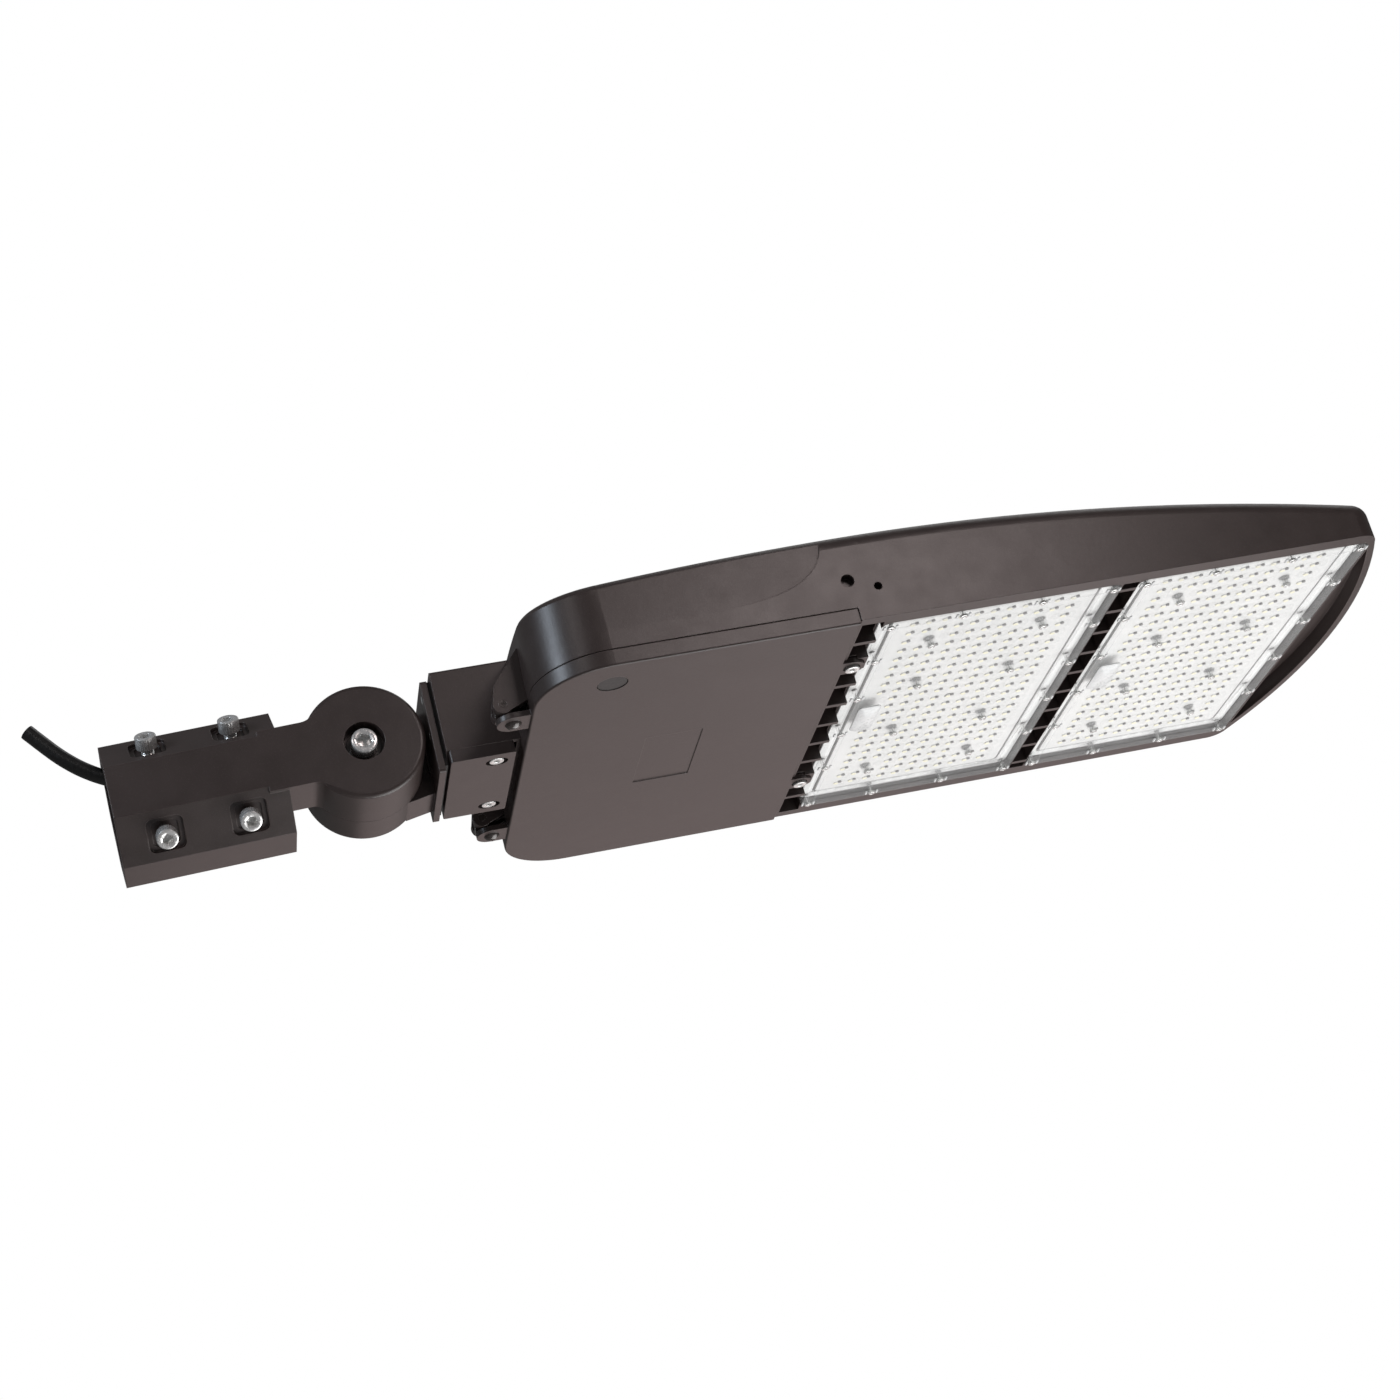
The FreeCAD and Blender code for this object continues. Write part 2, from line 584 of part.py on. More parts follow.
def knuckle_arm():
    """Toothed cheek, arm and rectangular flange that carries the head."""
    cheek = disc(PIVOT.x, PIVOT.z, TOUCH / 2, ARM_T, ARM_T)
    angle = math.radians(ARM_ANGLE)
    top = (PIVOT.x + KNUCKLE_R * math.cos(angle), PIVOT.z + KNUCKLE_R * math.sin(angle))
    low = (PIVOT.x + KNUCKLE_R * math.cos(angle), PIVOT.z - KNUCKLE_R * math.sin(angle))
    inside_x = FLANGE_X + FLANGE_T / 4
    outline = [(PIVOT.x, PIVOT.z), top, (inside_x, FLANGE_Z[1] - ARM_EDGE),
               (inside_x, FLANGE_Z[0] + ARM_EDGE), low]
    arm = extrude_y(outline, TOUCH / 2 + TOOTH_H, ARM_T)
    flange = box(FLANGE_X, FLANGE_X + FLANGE_T, -FLANGE_HALF_Y, FLANGE_HALF_Y, *FLANGE_Z)
    flange = round_edges(flange, FLANGE_CORNER_R, lambda e: is_along(e, V(1, 0, 0)))
    rib_x = PIVOT.x + KNUCKLE_R + TOOTH_RIM
    (z0, z1), (z2, z3) = RIB_OUTLINE_Z
    rib = extrude_y([(rib_x, z0), (inside_x, z2), (inside_x, z3), (rib_x, z1)], *RIB_Y)
    body = fuse([cheek, arm, flange, rib])
    cuts = [rod(M10_R + RUNNING, (PIVOT.x, -1, PIVOT.z), (PIVOT.x, ARM_T + 1, PIVOT.z))]
    cuts.append(tooth_cuts(PIVOT.x, PIVOT.z, TOUCH / 2, -1))
    cuts.append(cable_passage(PIVOT.x + KNUCKLE_R / 2, NECK_X))
    cuts.extend(arm_screw_holes(M5_R + THREAD, FLANGE_X - 1, NECK_X))
    return body.cut(cuts)


def arm_gasket():
    """Rubber sheet between the flange and the neck."""
    half = FLANGE_HALF_Y - GASKET_INSET
    sheet = box(FLANGE_X + FLANGE_T, NECK_X, -half, half, RIM_Z + GASKET_FOOT, FLANGE_Z[1] - GASKET_INSET)
    cuts = arm_screw_holes(M5_R + HOLE, FLANGE_X, NECK_X + 1)
    cuts.append(cable_passage(FLANGE_X, NECK_X + 1))
    return sheet.cut(cuts)


def arm_screws():
    """Four screws that hold the arm's flange from inside the neck."""
    seat_x = NECK_X + NECK_WALL
    length = NECK_WALL + GASKET_T + FLANGE_T
    return Part.makeCompound([
        cap_screw(M5_HEAD_R, M5_HEAD_H, M5_R, length, M5_KEY, V(seat_x, y, z), V(1, 0, 0))
        for y in (-ARM_SCREW_Y, ARM_SCREW_Y) for z in ARM_SCREW_Z])


def cover_screw_points():
    """Centres of the neck cover's two screws."""
    return [(NECK_X + COVER_SCREW_X, side * COVER_SCREW_Y) for side in (-1, 1)]


def neck_cover():
    """Shallow cap below the neck, with a slotted hole for each screw."""
    front = HEAD_X - COVER_GAP_X
    rear = NECK_X + COVER_SETBACK
    cap = box(rear, front, -NECK_HALF_Y, NECK_HALF_Y, RIM_Z, COVER_TOP_Z)
    cap = round_edges(cap, NECK_EDGE_R, lambda e: is_along(e, V(0, 0, 1)))
    inside = box(rear + COVER_WALL, front - COVER_WALL, -NECK_HALF_Y + COVER_WALL, NECK_HALF_Y - COVER_WALL,
                 RIM_Z + COVER_WALL, COVER_TOP_Z + 1)
    cap = cap.cut(inside)
    posts = [rod(M5_HEAD_R + 2, (x, y, RIM_Z + 1), (x, y, COVER_TOP_Z)) for x, y in cover_screw_points()]
    cap = fuse([cap] + posts)
    cuts = []
    for x, y in cover_screw_points():
        for dx in (-1, 1):
            end = x + dx * (SLOT_LENGTH / 2 - M5_HEAD_R - HOLE)
            cuts.append(rod(M5_HEAD_R + HOLE, (end, y, RIM_Z - 1), (end, y, RIM_Z + M5_HEAD_H)))
        cuts.append(rod(M5_R + HOLE, (x, y, RIM_Z), (x, y, COVER_TOP_Z + 1)))
    return cap.cut(cuts)


def neck_cover_screws():
    """Two screws that hold the neck cover."""
    return Part.makeCompound([
        cap_screw(M5_HEAD_R, M5_HEAD_H, M5_R, COVER_H + COVER_SCREW_GRIP, M5_KEY,
                  V(x, y, RIM_Z + M5_HEAD_H), V(0, 0, -1))
        for x, y in cover_screw_points()])


# ---------------------------------------------------------------- housing

def arc_radius(half_chord, sagitta):
    """Radius of an arc from half its chord and its height."""
    return (half_chord ** 2 + sagitta ** 2) / (2 * sagitta)


def nose_block(z0, z1, inset):
    """Plan of the head: rounded rear corners, straight sides, a shallow round nose."""
    half = HEAD_HALF_Y - inset
    nose_r = arc_radius(HEAD_HALF_Y, NOSE_SAGITTA)
    straight_end = NOSE_X - 2 * NOSE_SAGITTA
    block = plate(HEAD_X + inset, NOSE_X, half, z0, z1, REAR_CORNER_R - inset, 0)
    nose = Part.makeCylinder(nose_r - inset, z1 - z0, V(NOSE_X - nose_r, 0, z0))
    block = block.common(nose.fuse(box(HEAD_X, straight_end, -half, half, z0, z1)))
    block = block.removeSplitter()
    return round_edges(block, NOSE_CORNER_R - inset, lambda e: is_along(e, V(0, 0, 1))
                       and e.CenterOfMass.x > straight_end and abs(abs(e.CenterOfMass.y) - half) < NEAR)


def crown_body(drop):
    """Solid below the crowned roof; drop lowers the whole roof, as for its inner face."""
    half = HEAD_HALF_Y + 20
    edge_z = CREST_Z - CROWN * (half / HEAD_HALF_Y) ** 2 - drop
    top_points = [V(CREST_X, -half, edge_z), V(CREST_X, 0, CREST_Z - drop), V(CREST_X, half, edge_z)]
    top = Part.Arc(*top_points).toShape()
    floor_z = RIM_Z - 160
    corners = ((half, edge_z), (half, floor_z), (-half, floor_z), (-half, edge_z))
    low = [V(CREST_X, y, z) for y, z in corners]
    face = Part.Face(Part.Wire([top] + Part.makePolygon(low).Edges))
    halves = []
    for end_x, fall in ((NOSE_X, NOSE_DROP), (HEAD_X, -REAR_DROP)):
        radius = arc_radius(abs(end_x - CREST_X), abs(fall))
        angle = math.degrees(math.asin(abs(end_x - CREST_X) / radius)) * ROOF_OVERRUN
        centre = V(CREST_X, 0, CREST_EDGE_Z - radius)
        halves.append(face.revolve(centre, V(0, 1, 0), math.copysign(angle, fall)))
    return halves[0].fuse(halves[1])


def rounded_roof(block):
    """Round the rim between the upright walls and the crowned roof."""
    def is_roof_rim(edge):
        if is_along(edge, V(0, 0, 1)) or edge.BoundBox.ZMin < RIM_Z + 3:
            return False
        return edge.BoundBox.YLength > 1.0 or edge.BoundBox.XLength > 1.0
    edges = [e for e in block.Edges if is_roof_rim(e) and not crosses_middle(e)]
    return block.makeFillet(TOP_FILLET, edges)


def crosses_middle(edge):
    """True for the roof's own seam across the crest."""
    box_ = edge.BoundBox
    return box_.XLength < 0.5 and box_.YLength > HEAD_HALF_Y


def hood_region():
    """Everything behind the curved crease on the side walls."""
    crease = [V(DOOR_FRONT_X + x, 0, z) for x, z in CREASE]
    spline = Part.BSplineCurve()
    spline.interpolate(crease)
    rear_x = NECK_X
    top_z = CREST_Z + HOOD_TOP_MARGIN
    low = [crease[-1], V(rear_x, 0, HOOD_SEAM_Z), V(rear_x, 0, top_z), V(crease[0].x, 0, top_z), crease[0]]
    face = Part.Face(Part.Wire([spline.toShape()] + Part.makePolygon(low).Edges))
    face.translate(V(0, -2 * HEAD_HALF_Y, 0))
    return face.extrude(V(0, 4 * HEAD_HALF_Y, 0))


def head_envelope():
    """Outer form of the casting, before anything is hollowed."""
    top = CREST_Z + 10
    straight = rounded_roof(nose_block(RIM_Z, top, 0).common(crown_body(0)).removeSplitter())
    low = plate(HEAD_X, CREST_X, HEAD_HALF_Y, HOOD_SEAM_Z, top, REAR_CORNER_R, 0)
    lean = HOOD_DRAFT
    frame_low = Part.Wire(low.slice(V(0, 0, 1), HOOD_SEAM_Z + 0.001)[0].Edges)
    high = plate(HEAD_X + lean, CREST_X, HEAD_HALF_Y - lean, HOOD_SEAM_Z, top, REAR_CORNER_R - lean, 0)
    frame_high = Part.Wire(high.slice(V(0, 0, 1), HOOD_SEAM_Z + 0.001)[0].Edges)
    frame_high.translate(V(0, 0, CREST_EDGE_Z - HOOD_SEAM_Z + HOOD_TOP_MARGIN))
    hood = Part.makeLoft([frame_low, frame_high], True, True)
    keep = hood_region()
    hood_top = straight.common(hood)
    return straight.cut(keep).fuse(hood_top.common(keep)).removeSplitter()


def bay_space(top_drop):
    """The driver bay's inside, under the roof."""
    room = plate(HEAD_X + WALL, DOOR_FRONT_X - WALL + 1, HEAD_HALF_Y - WALL - HOOD_DRAFT, DOOR_TOP_Z - 5,
                 CREST_Z, REAR_CORNER_R - WALL, 2.0)
    return room.common(crown_body(top_drop))


def open_spans(limit, blocked):
    """What is left of -limit..limit between blocked stretches, when it is wider than a rib."""
    spans = []
    at = -limit
    for y0, y1 in sorted(blocked) + [(limit, limit)]:
        if min(y0, limit) - at > RIB_T:
            spans.append((at, min(y0, limit)))
        at = max(at, y1)
    return spans


def ribs_at(centres):
    """The stretches that ribs block."""
    return [(y - RIB_T / 2, y + RIB_T / 2) for y in centres]


def slot_cuts():
    """Through openings of the rear slot and of the slots between modules."""
    lug_half = DOOR_LUG_R + LUG_GAP
    blocked = ribs_at([k * RIB_STEP for k in (-2, -1, 0, 1, 2)] + [-OUTER_RIB_Y, OUTER_RIB_Y])
    blocked += [(side * DOOR_SCREW_Y - lug_half, side * DOOR_SCREW_Y + lug_half) for side in (-1, 1)]
    slots = [(SLOT_X, open_spans(SLOT_HALF_Y, blocked))]
    count = int(MODULE_HALF_Y // RIB_STEP) + 1
    mid_ribs = ribs_at([(k + 0.5) * RIB_STEP for k in range(-count, count)])
    for x in MODULES[:-1]:
        ends = (x + MODULE_LENGTH + MID_SLOT_MARGIN, x + MODULE_LENGTH + MODULE_GAP - MID_SLOT_MARGIN)
        slots.append((ends, open_spans(MODULE_HALF_Y, mid_ribs)))
    return [box(x0, x1, y0, y1, RIM_Z - 1, SINK_TOP_Z + 1) for (x0, x1), spans in slots for y0, y1 in spans]


def fin_channels():
    """Open channels between the cooling fins, from the roof down to the heat sink plate."""
    width = FIN_PITCH - FIN_T
    channels = []
    for k in range(-FIN_COUNT_SIDE, FIN_COUNT_SIDE):
        y = (k + 0.5) * FIN_PITCH
        x0 = SLOT_X[0] + width / 2
        x1 = FIN_END_X - abs(y) * FIN_TAPER
        channel = box(x0, x1, y - width / 2, y + width / 2, SINK_TOP_Z, CREST_Z + 20)
        ends = [rod(width / 2, (x, y, SINK_TOP_Z), (x, y, CREST_Z + 20)) for x in (x0, x1)]
        channels.append(fuse([channel] + ends))
    return channels


def nose_scoop():
    """Hollow between the front lens and the nose's rim."""
    lens_front = MODULES[-1] + MODULE_LENGTH + RECESS_GAP
    foot, bend, flat = [lens_front + run for run in SCOOP_RUN]
    inside = nose_block(RIM_Z - 1, RIM_Z + SCOOP_DEPTH + 1, SCOOP_LIP)
    roof_z = RIM_Z + SCOOP_DEPTH
    bend_z = RIM_Z + SCOOP_DEPTH * SCOOP_BEND
    slope = Part.Arc(V(foot, 0, RIM_Z - 1), V(bend, 0, bend_z), V(flat, 0, roof_z)).toShape()
    rest = Part.makePolygon([V(flat, 0, roof_z), V(NOSE_X + 5, 0, roof_z), V(NOSE_X + 5, 0, RIM_Z - 1),
                             V(foot, 0, RIM_Z - 1)])
    face = Part.Face(Part.Wire([slope] + rest.Edges))
    face.translate(V(0, -MODULE_HALF_Y, 0))
    return face.extrude(V(0, 2 * MODULE_HALF_Y, 0)).common(inside)


def hinge_ears():
    """Two clevises on the head's rear wall, each with a slot and a bore for its hinge pin."""
    gusset_z = RIM_Z + EAR_GUSSET_Z
    outline = [(HINGE_X - EAR_R, HINGE_Z), (HINGE_X - EAR_R / 2, HINGE_Z + 2 * EAR_R), (HEAD_X, gusset_z),
               (HEAD_X + WALL, gusset_z), (HEAD_X + WALL, DOOR_TOP_Z + LEDGE_T), (HINGE_X, HINGE_Z - EAR_R)]
    ears = []
    for side in (-1, 1):
        y = side * HINGE_Y
        barrel = rod(EAR_R, (HINGE_X, y - EAR_HALF, HINGE_Z), (HINGE_X, y + EAR_HALF, HINGE_Z))
        ear = fuse([barrel, extrude_y(outline, y - EAR_HALF, y + EAR_HALF)])
        slot = box(HINGE_X - 2 * EAR_R, HEAD_X + WALL, y - EAR_SLOT / 2, y + EAR_SLOT / 2,
                   HINGE_Z - EAR_R - 1, HINGE_Z + EAR_R + 1)
        bore = rod(HINGE_PIN_R, (HINGE_X, y - EAR_HALF - 1, HINGE_Z), (HINGE_X, y + EAR_HALF + 1, HINGE_Z))
        ears.append(ear.cut([slot, bore, ENVELOPE]))
    return Part.makeCompound([solid for ear in ears for solid in ear.Solids])


def post_points():
    """Centres of the posts that carry the gear plate."""
    return [(x, side * POST_Y) for x in POST_X for side in (-1, 1)]


def neck_passage():
    """The neck's inside and its way into the bay, above the sill."""
    half = NECK_HALF_Y - NECK_WALL
    room = box(NECK_X + NECK_WALL, HEAD_X + WALL + 1, -half, half, COVER_TOP_Z - 1, NECK_TOP - NECK_WALL)
    sill = box(HEAD_X - SILL_REACH, HEAD_X + WALL + LEDGE_W, -NECK_HALF_Y, NECK_HALF_Y,
               COVER_TOP_Z - 1, COVER_TOP_Z + LEDGE_T)
    return room.cut(sill)


def neck():
    """Hollow neck behind the head, with the bosses for its cover's screws."""
    body = box(NECK_X, HEAD_X + WALL, -NECK_HALF_Y, NECK_HALF_Y, COVER_TOP_Z, NECK_TOP)
    body = round_edges(body, NECK_EDGE_R, lambda e: is_along(e, V(1, 0, 0)) and e.CenterOfMass.z > 0)
    body = body.cut(neck_passage())
    boss_end = NECK_X + COVER_SCREW_X + BOSS_HALF + 1
    bosses = []
    for x, y in cover_screw_points():
        outer = math.copysign(NECK_HALF_Y - 1, y)
        inner = y - math.copysign(BOSS_HALF, y)
        bosses.append(box(NECK_X + NECK_WALL / 2, boss_end, min(inner, outer), max(inner, outer),
                          COVER_TOP_Z, COVER_TOP_Z + BOSS_H))
    body = fuse([body] + bosses)
    cuts = arm_screw_holes(M5_R + HOLE, NECK_X - 1, NECK_X + NECK_WALL + 1)
    cuts.append(cable_passage(NECK_X - 1, NECK_X + NECK_WALL + 1))
    cuts.extend(rod(M5_R + THREAD, (x, y, COVER_TOP_Z - 1), (x, y, COVER_TOP_Z + BOSS_H - 1))
                for x, y in cover_screw_points())
    return body.cut(cuts + [ENVELOPE])


def housing():
    """Die-cast head: driver bay, heat sink with fins, slots and rim."""
    door_room = box(HEAD_X - 1, DOOR_FRONT_X + SEAM, -HEAD_HALF_Y - 1, HEAD_HALF_Y + 1,
                    RIM_Z - 1, DOOR_TOP_Z + SEAM)
    ledge_inset = WALL + LEDGE_W
    ledge_in = plate(HEAD_X + ledge_inset, DOOR_FRONT_X - ledge_inset, HEAD_HALF_Y - ledge_inset,
                     RIM_Z, CREST_Z, REAR_CORNER_R - ledge_inset, 2.0)
    ledge_z = DOOR_TOP_Z + SEAM
    ledge = box(HEAD_X, DOOR_FRONT_X, -HEAD_HALF_Y, HEAD_HALF_Y, ledge_z, ledge_z + LEDGE_T)
    hollow = bay_space(WALL).cut(ledge.cut(ledge_in))
    body = ENVELOPE.cut([door_room, hollow, neck_passage()])
    posts = [rod(POST_R, (x, y, PLATE_Z + PLATE_T), (x, y, CREST_Z)).common(crown_body(WALL - 1))
             for x, y in post_points()]
    body = fuse([body] + posts)
    cuts = fin_channels() + slot_cuts() + [nose_scoop()]
    for x in MODULES:
        cuts.append(plate(x - RECESS_GAP, x + MODULE_LENGTH + RECESS_GAP, MODULE_HALF_Y + RECESS_GAP,
                          RIM_Z - 1, BOARD_SEAT_Z, MODULE_CORNER_R, MODULE_CORNER_R))
        cuts.extend(rod(M3_R + THREAD, (sx, sy, BOARD_SEAT_Z - 1), (sx, sy, BOARD_SEAT_Z + M3_GRIP + 2))
                    for sx, sy in lens_screw_points(x))
        middle = x + MODULE_LENGTH / 2
        cuts.append(rod(WIRE_HOLE_R, (middle, 0, BOARD_SEAT_Z - 1), (middle, 0, SINK_TOP_Z + 1)))
    lug_half = DOOR_LUG_R + SEAM
    lug_room_z = LUG_TOP_Z + RETAINER_T + TOUCH
    for side in (-1, 1):
        y = side * DOOR_SCREW_Y
        cuts.append(rod(lug_half, (DOOR_SCREW_X, y, RIM_Z - 1), (DOOR_SCREW_X, y, lug_room_z)))
        cuts.append(box(DOOR_FRONT_X, DOOR_SCREW_X, y - lug_half, y + lug_half, RIM_Z - 1, lug_room_z))
        cuts.append(rod(M5_R + DOOR_SCREW_PLAY, (DOOR_SCREW_X, y, RIM_Z),
                        (DOOR_SCREW_X, y, LUG_TOP_Z + DOOR_SCREW_GRIP + DOOR_SCREW_END)))
        for from_door, rise, radius in SIDE_HOLES:
            x, z = DOOR_FRONT_X + from_door, RIM_Z + rise
            cuts.append(rod(radius, (x, side * (HEAD_HALF_Y + 1), z),
                            (x, side * (HEAD_HALF_Y - SIDE_HOLE_DEPTH), z)))
    cuts.extend(rod(M4_R, (x, y, PLATE_Z), (x, y, PLATE_Z + PLATE_SCREW_L + 2)) for x, y in post_points())
    return max(body.cut(cuts).Solids, key=lambda s: s.Volume)


# ---------------------------------------------------------------- LED modules

def lens_screw_points(x):
    """Centres of one lens's screws: round its frame and at four sites in its field."""
    middle = x + MODULE_LENGTH / 2
    side_x = MODULE_LENGTH / 2 - LENS_SCREW_INSET
    side_y = MODULE_HALF_Y - LENS_SCREW_INSET
    along = [LENS_SCREW_SHIFT + k * LENS_SCREW_PITCH for k in (-1.5, -0.5, 0.5, 1.5)]
    points = [(middle + end * side_x, y) for end in (-1, 1) for y in [-side_y] + along + [side_y]]
    points.extend((middle + end * MODULE_LENGTH / 6, side * side_y) for end in (-1, 1) for side in (-1, 1))
    for column, row in INNER_SCREW_SITES:
        points.extend((middle + column * LED_PITCH_X, side * row * LED_PITCH_Y) for side in (-1, 1))
    return points


def in_window(x, point):
    """True when a screw stands inside a lens's frame."""
    return (abs(point[1]) < MODULE_HALF_Y - LENS_FRAME_W
            and x + LENS_FRAME_W < point[0] < x + MODULE_LENGTH - LENS_FRAME_W)


def module_plate(x, inset, z0, z1, corner_r):
    """A plate over one module, smaller than the module by an inset all round."""
    return plate(x + inset, x + MODULE_LENGTH - inset, MODULE_HALF_Y - inset, z0, z1, corner_r, corner_r)


def screw_holes(x, radius, z0, z1):
    """Rods on one lens's screw centres."""
    return [rod(radius, (sx, sy, z0), (sx, sy, z1)) for sx, sy in lens_screw_points(x)]


def lens(x):
    """Clear moulded cover: a raised frame with a thin window recessed inside it."""
    window_z = LENS_Z + LENS_FRAME_STEP
    outer = module_plate(x, 0, LENS_Z, LENS_TOP_Z, MODULE_CORNER_R)
    step = module_plate(x, LENS_FRAME_W, LENS_Z - 1, window_z, LENS_INNER_R)
    hollow = module_plate(x, LENS_FRAME_W, window_z + LENS_T, LENS_TOP_Z + 1, LENS_INNER_R)
    posts = [rod(M3_HEAD_R + 1, (*point, window_z), (*point, BOARD_SEAT_Z - BOARD_T))
             for point in lens_screw_points(x) if in_window(x, point)]
    body = fuse([outer.cut([step, hollow])] + posts)
    return body.cut(screw_holes(x, M3_R + HOLE, LENS_Z - 1, BOARD_SEAT_Z))


def lens_gasket(x):
    """Silicone ring under the lens's frame."""
    outer = module_plate(x, LENS_GASKET_INSET, LENS_TOP_Z, BOARD_SEAT_Z, MODULE_CORNER_R)
    inner = module_plate(x, LENS_FRAME_W - LENS_GASKET_INSET, LENS_TOP_Z - 1, BOARD_SEAT_Z + 1, LENS_INNER_R)
    return outer.cut([inner] + screw_holes(x, M3_R + HOLE, LENS_TOP_Z - 1, BOARD_SEAT_Z + 1))


def led_board(x):
    """Circuit board on the heat sink plate."""
    low = BOARD_SEAT_Z - BOARD_T
    board = module_plate(x, BOARD_INSET, low, BOARD_SEAT_Z, LENS_INNER_R)
    middle = x + MODULE_LENGTH / 2
    wire_hole = rod(WIRE_HOLE_R - 1, (middle, 0, low - 1), (middle, 0, BOARD_SEAT_Z + 1))
    return board.cut(screw_holes(x, M3_R + HOLE, low - 1, BOARD_SEAT_Z + 1) + [wire_hole])


def lens_screws(x):
    """All the screws of one lens."""
    screws = []
    for point in lens_screw_points(x):
        seat = LENS_Z + LENS_FRAME_STEP if in_window(x, point) else LENS_Z
        length = BOARD_SEAT_Z - seat + M3_GRIP
        screws.append(cap_screw(M3_HEAD_R, M3_HEAD_H, M3_R, length, M3_KEY, V(*point, seat), V(0, 0, -1)))
    return Part.makeCompound(screws)


# ---------------------------------------------------------------- door

def door():
    """Bay door: a tray with screw lugs in front and hinge tongues behind."""
    tray = plate(HEAD_X, DOOR_FRONT_X, HEAD_HALF_Y, DOOR_Z, DOOR_TOP_Z, REAR_CORNER_R, 0)
    inside = plate(HEAD_X + SKIRT_T, DOOR_FRONT_X - SKIRT_T, HEAD_HALF_Y - SKIRT_T,
                   DOOR_Z + DOOR_T, DOOR_TOP_Z + 1, REAR_CORNER_R - SKIRT_T, 1.0)
    tray = round_edges(tray.cut(inside), DOOR_EDGE_R, lambda e: abs(e.BoundBox.ZMax - DOOR_Z) < NEAR)
    pieces = [tray, gasket_ring(DOOR_Z + DOOR_T / 2, DOOR_SEAT_Z, 0.0)]
    for side in (-1, 1):
        y = side * DOOR_SCREW_Y
        pieces.append(rod(DOOR_LUG_R, (DOOR_SCREW_X, y, DOOR_Z), (DOOR_SCREW_X, y, LUG_TOP_Z)))
        pieces.append(box(DOOR_FRONT_X - SKIRT_T, DOOR_SCREW_X, y - DOOR_LUG_R, y + DOOR_LUG_R,
                          DOOR_Z, LUG_TOP_Z))
        y = side * HINGE_Y
        pieces.append(rod(TONGUE_R, (TONGUE_X, y, TONGUE_Z), (TONGUE_X, y, TONGUE_TOP_Z)))
        pieces.append(box(TONGUE_X, HEAD_X + 1, y - TONGUE_R, y + TONGUE_R, TONGUE_Z, TONGUE_TOP_Z))
    body = fuse(pieces)
    pad_x0, pad_x1, pad_half = PLATE_PAD
    cuts = [box(HEAD_X + pad_x0, HEAD_X + pad_x1, -pad_half, pad_half, DOOR_Z - 1, DOOR_Z + PLATE_PAD_DEPTH)]
    cuts.append(rod(PLUG_R + HOLE, (PLUG_X, PLUG_Y, DOOR_Z - 1), (PLUG_X, PLUG_Y, DOOR_Z + PLUG_SINK)))
    cuts.append(rod(PLUG_STEM_R, (PLUG_X, PLUG_Y, DOOR_Z), (PLUG_X, PLUG_Y, DOOR_Z + DOOR_T + 1)))
    for side in (-1, 1):
        y = side * DOOR_SCREW_Y
        cuts.append(rod(M5_R + HOLE, (DOOR_SCREW_X, y, DOOR_Z - 1), (DOOR_SCREW_X, y, LUG_TOP_Z + 1)))
        cuts.append(rod(M5_HEAD_R + HOLE * 2, (DOOR_SCREW_X, y, DOOR_Z - 1),
                        (DOOR_SCREW_X, y, DOOR_Z + DOOR_HEAD_SINK)))
        y = side * HINGE_Y
        cuts.append(rod(M4_R + HOLE, (TONGUE_X, y, DOOR_Z), (TONGUE_X, y, DOOR_TOP_Z)))
    return body.cut(cuts)


def gasket_ring(z0, z1, inset):
    """A ring that follows the door's outline just inside its skirt."""
    rings = []
    for start, reach in ((SKIRT_T + SEAT_START + inset, 0), (SKIRT_T + SEAT_START + SEAT_W - inset, 1)):
        rings.append(plate(HEAD_X + start, DOOR_FRONT_X - start, HEAD_HALF_Y - start, z0 - reach, z1 + reach,
                           REAR_CORNER_R - start, 1.0))
    return rings[0].cut(rings[1])


def door_gasket():
    """Silicone seal on the door's seat."""
    return gasket_ring(DOOR_SEAT_Z, DOOR_TOP_Z + SEAM - TOUCH, SEAL_INSET)


def door_plug():
    """Round vent plug pressed into the door."""
    face_z = DOOR_Z + PLUG_SINK - PLUG_CAP_T
    cap = rod(PLUG_R, (PLUG_X, PLUG_Y, face_z), (PLUG_X, PLUG_Y, DOOR_Z + PLUG_SINK))
    stem = rod(PLUG_STEM_R, (PLUG_X, PLUG_Y, face_z), (PLUG_X, PLUG_Y, DOOR_Z + DOOR_T + PLUG_CAP_T))
    return fuse([cap, stem])


def door_screw(side):
    """Captive screw of the door."""
    seat = V(DOOR_SCREW_X, side * DOOR_SCREW_Y, DOOR_Z + DOOR_HEAD_SINK)
    length = LUG_TOP_Z + DOOR_SCREW_GRIP - seat.z
    return cap_screw(M5_HEAD_R, M5_HEAD_H, M5_R, length, M5_KEY, seat, V(0, 0, -1))


def screw_retainers():
    """Nylon rings that keep the door screws captive."""
    return Part.makeCompound([
        ring(M5_R + RETAINER_W, M5_R + RUNNING, RETAINER_T, V(DOOR_SCREW_X, y, LUG_TOP_Z), V(0, 0, 1))
        for y in (-DOOR_SCREW_Y, DOOR_SCREW_Y)])


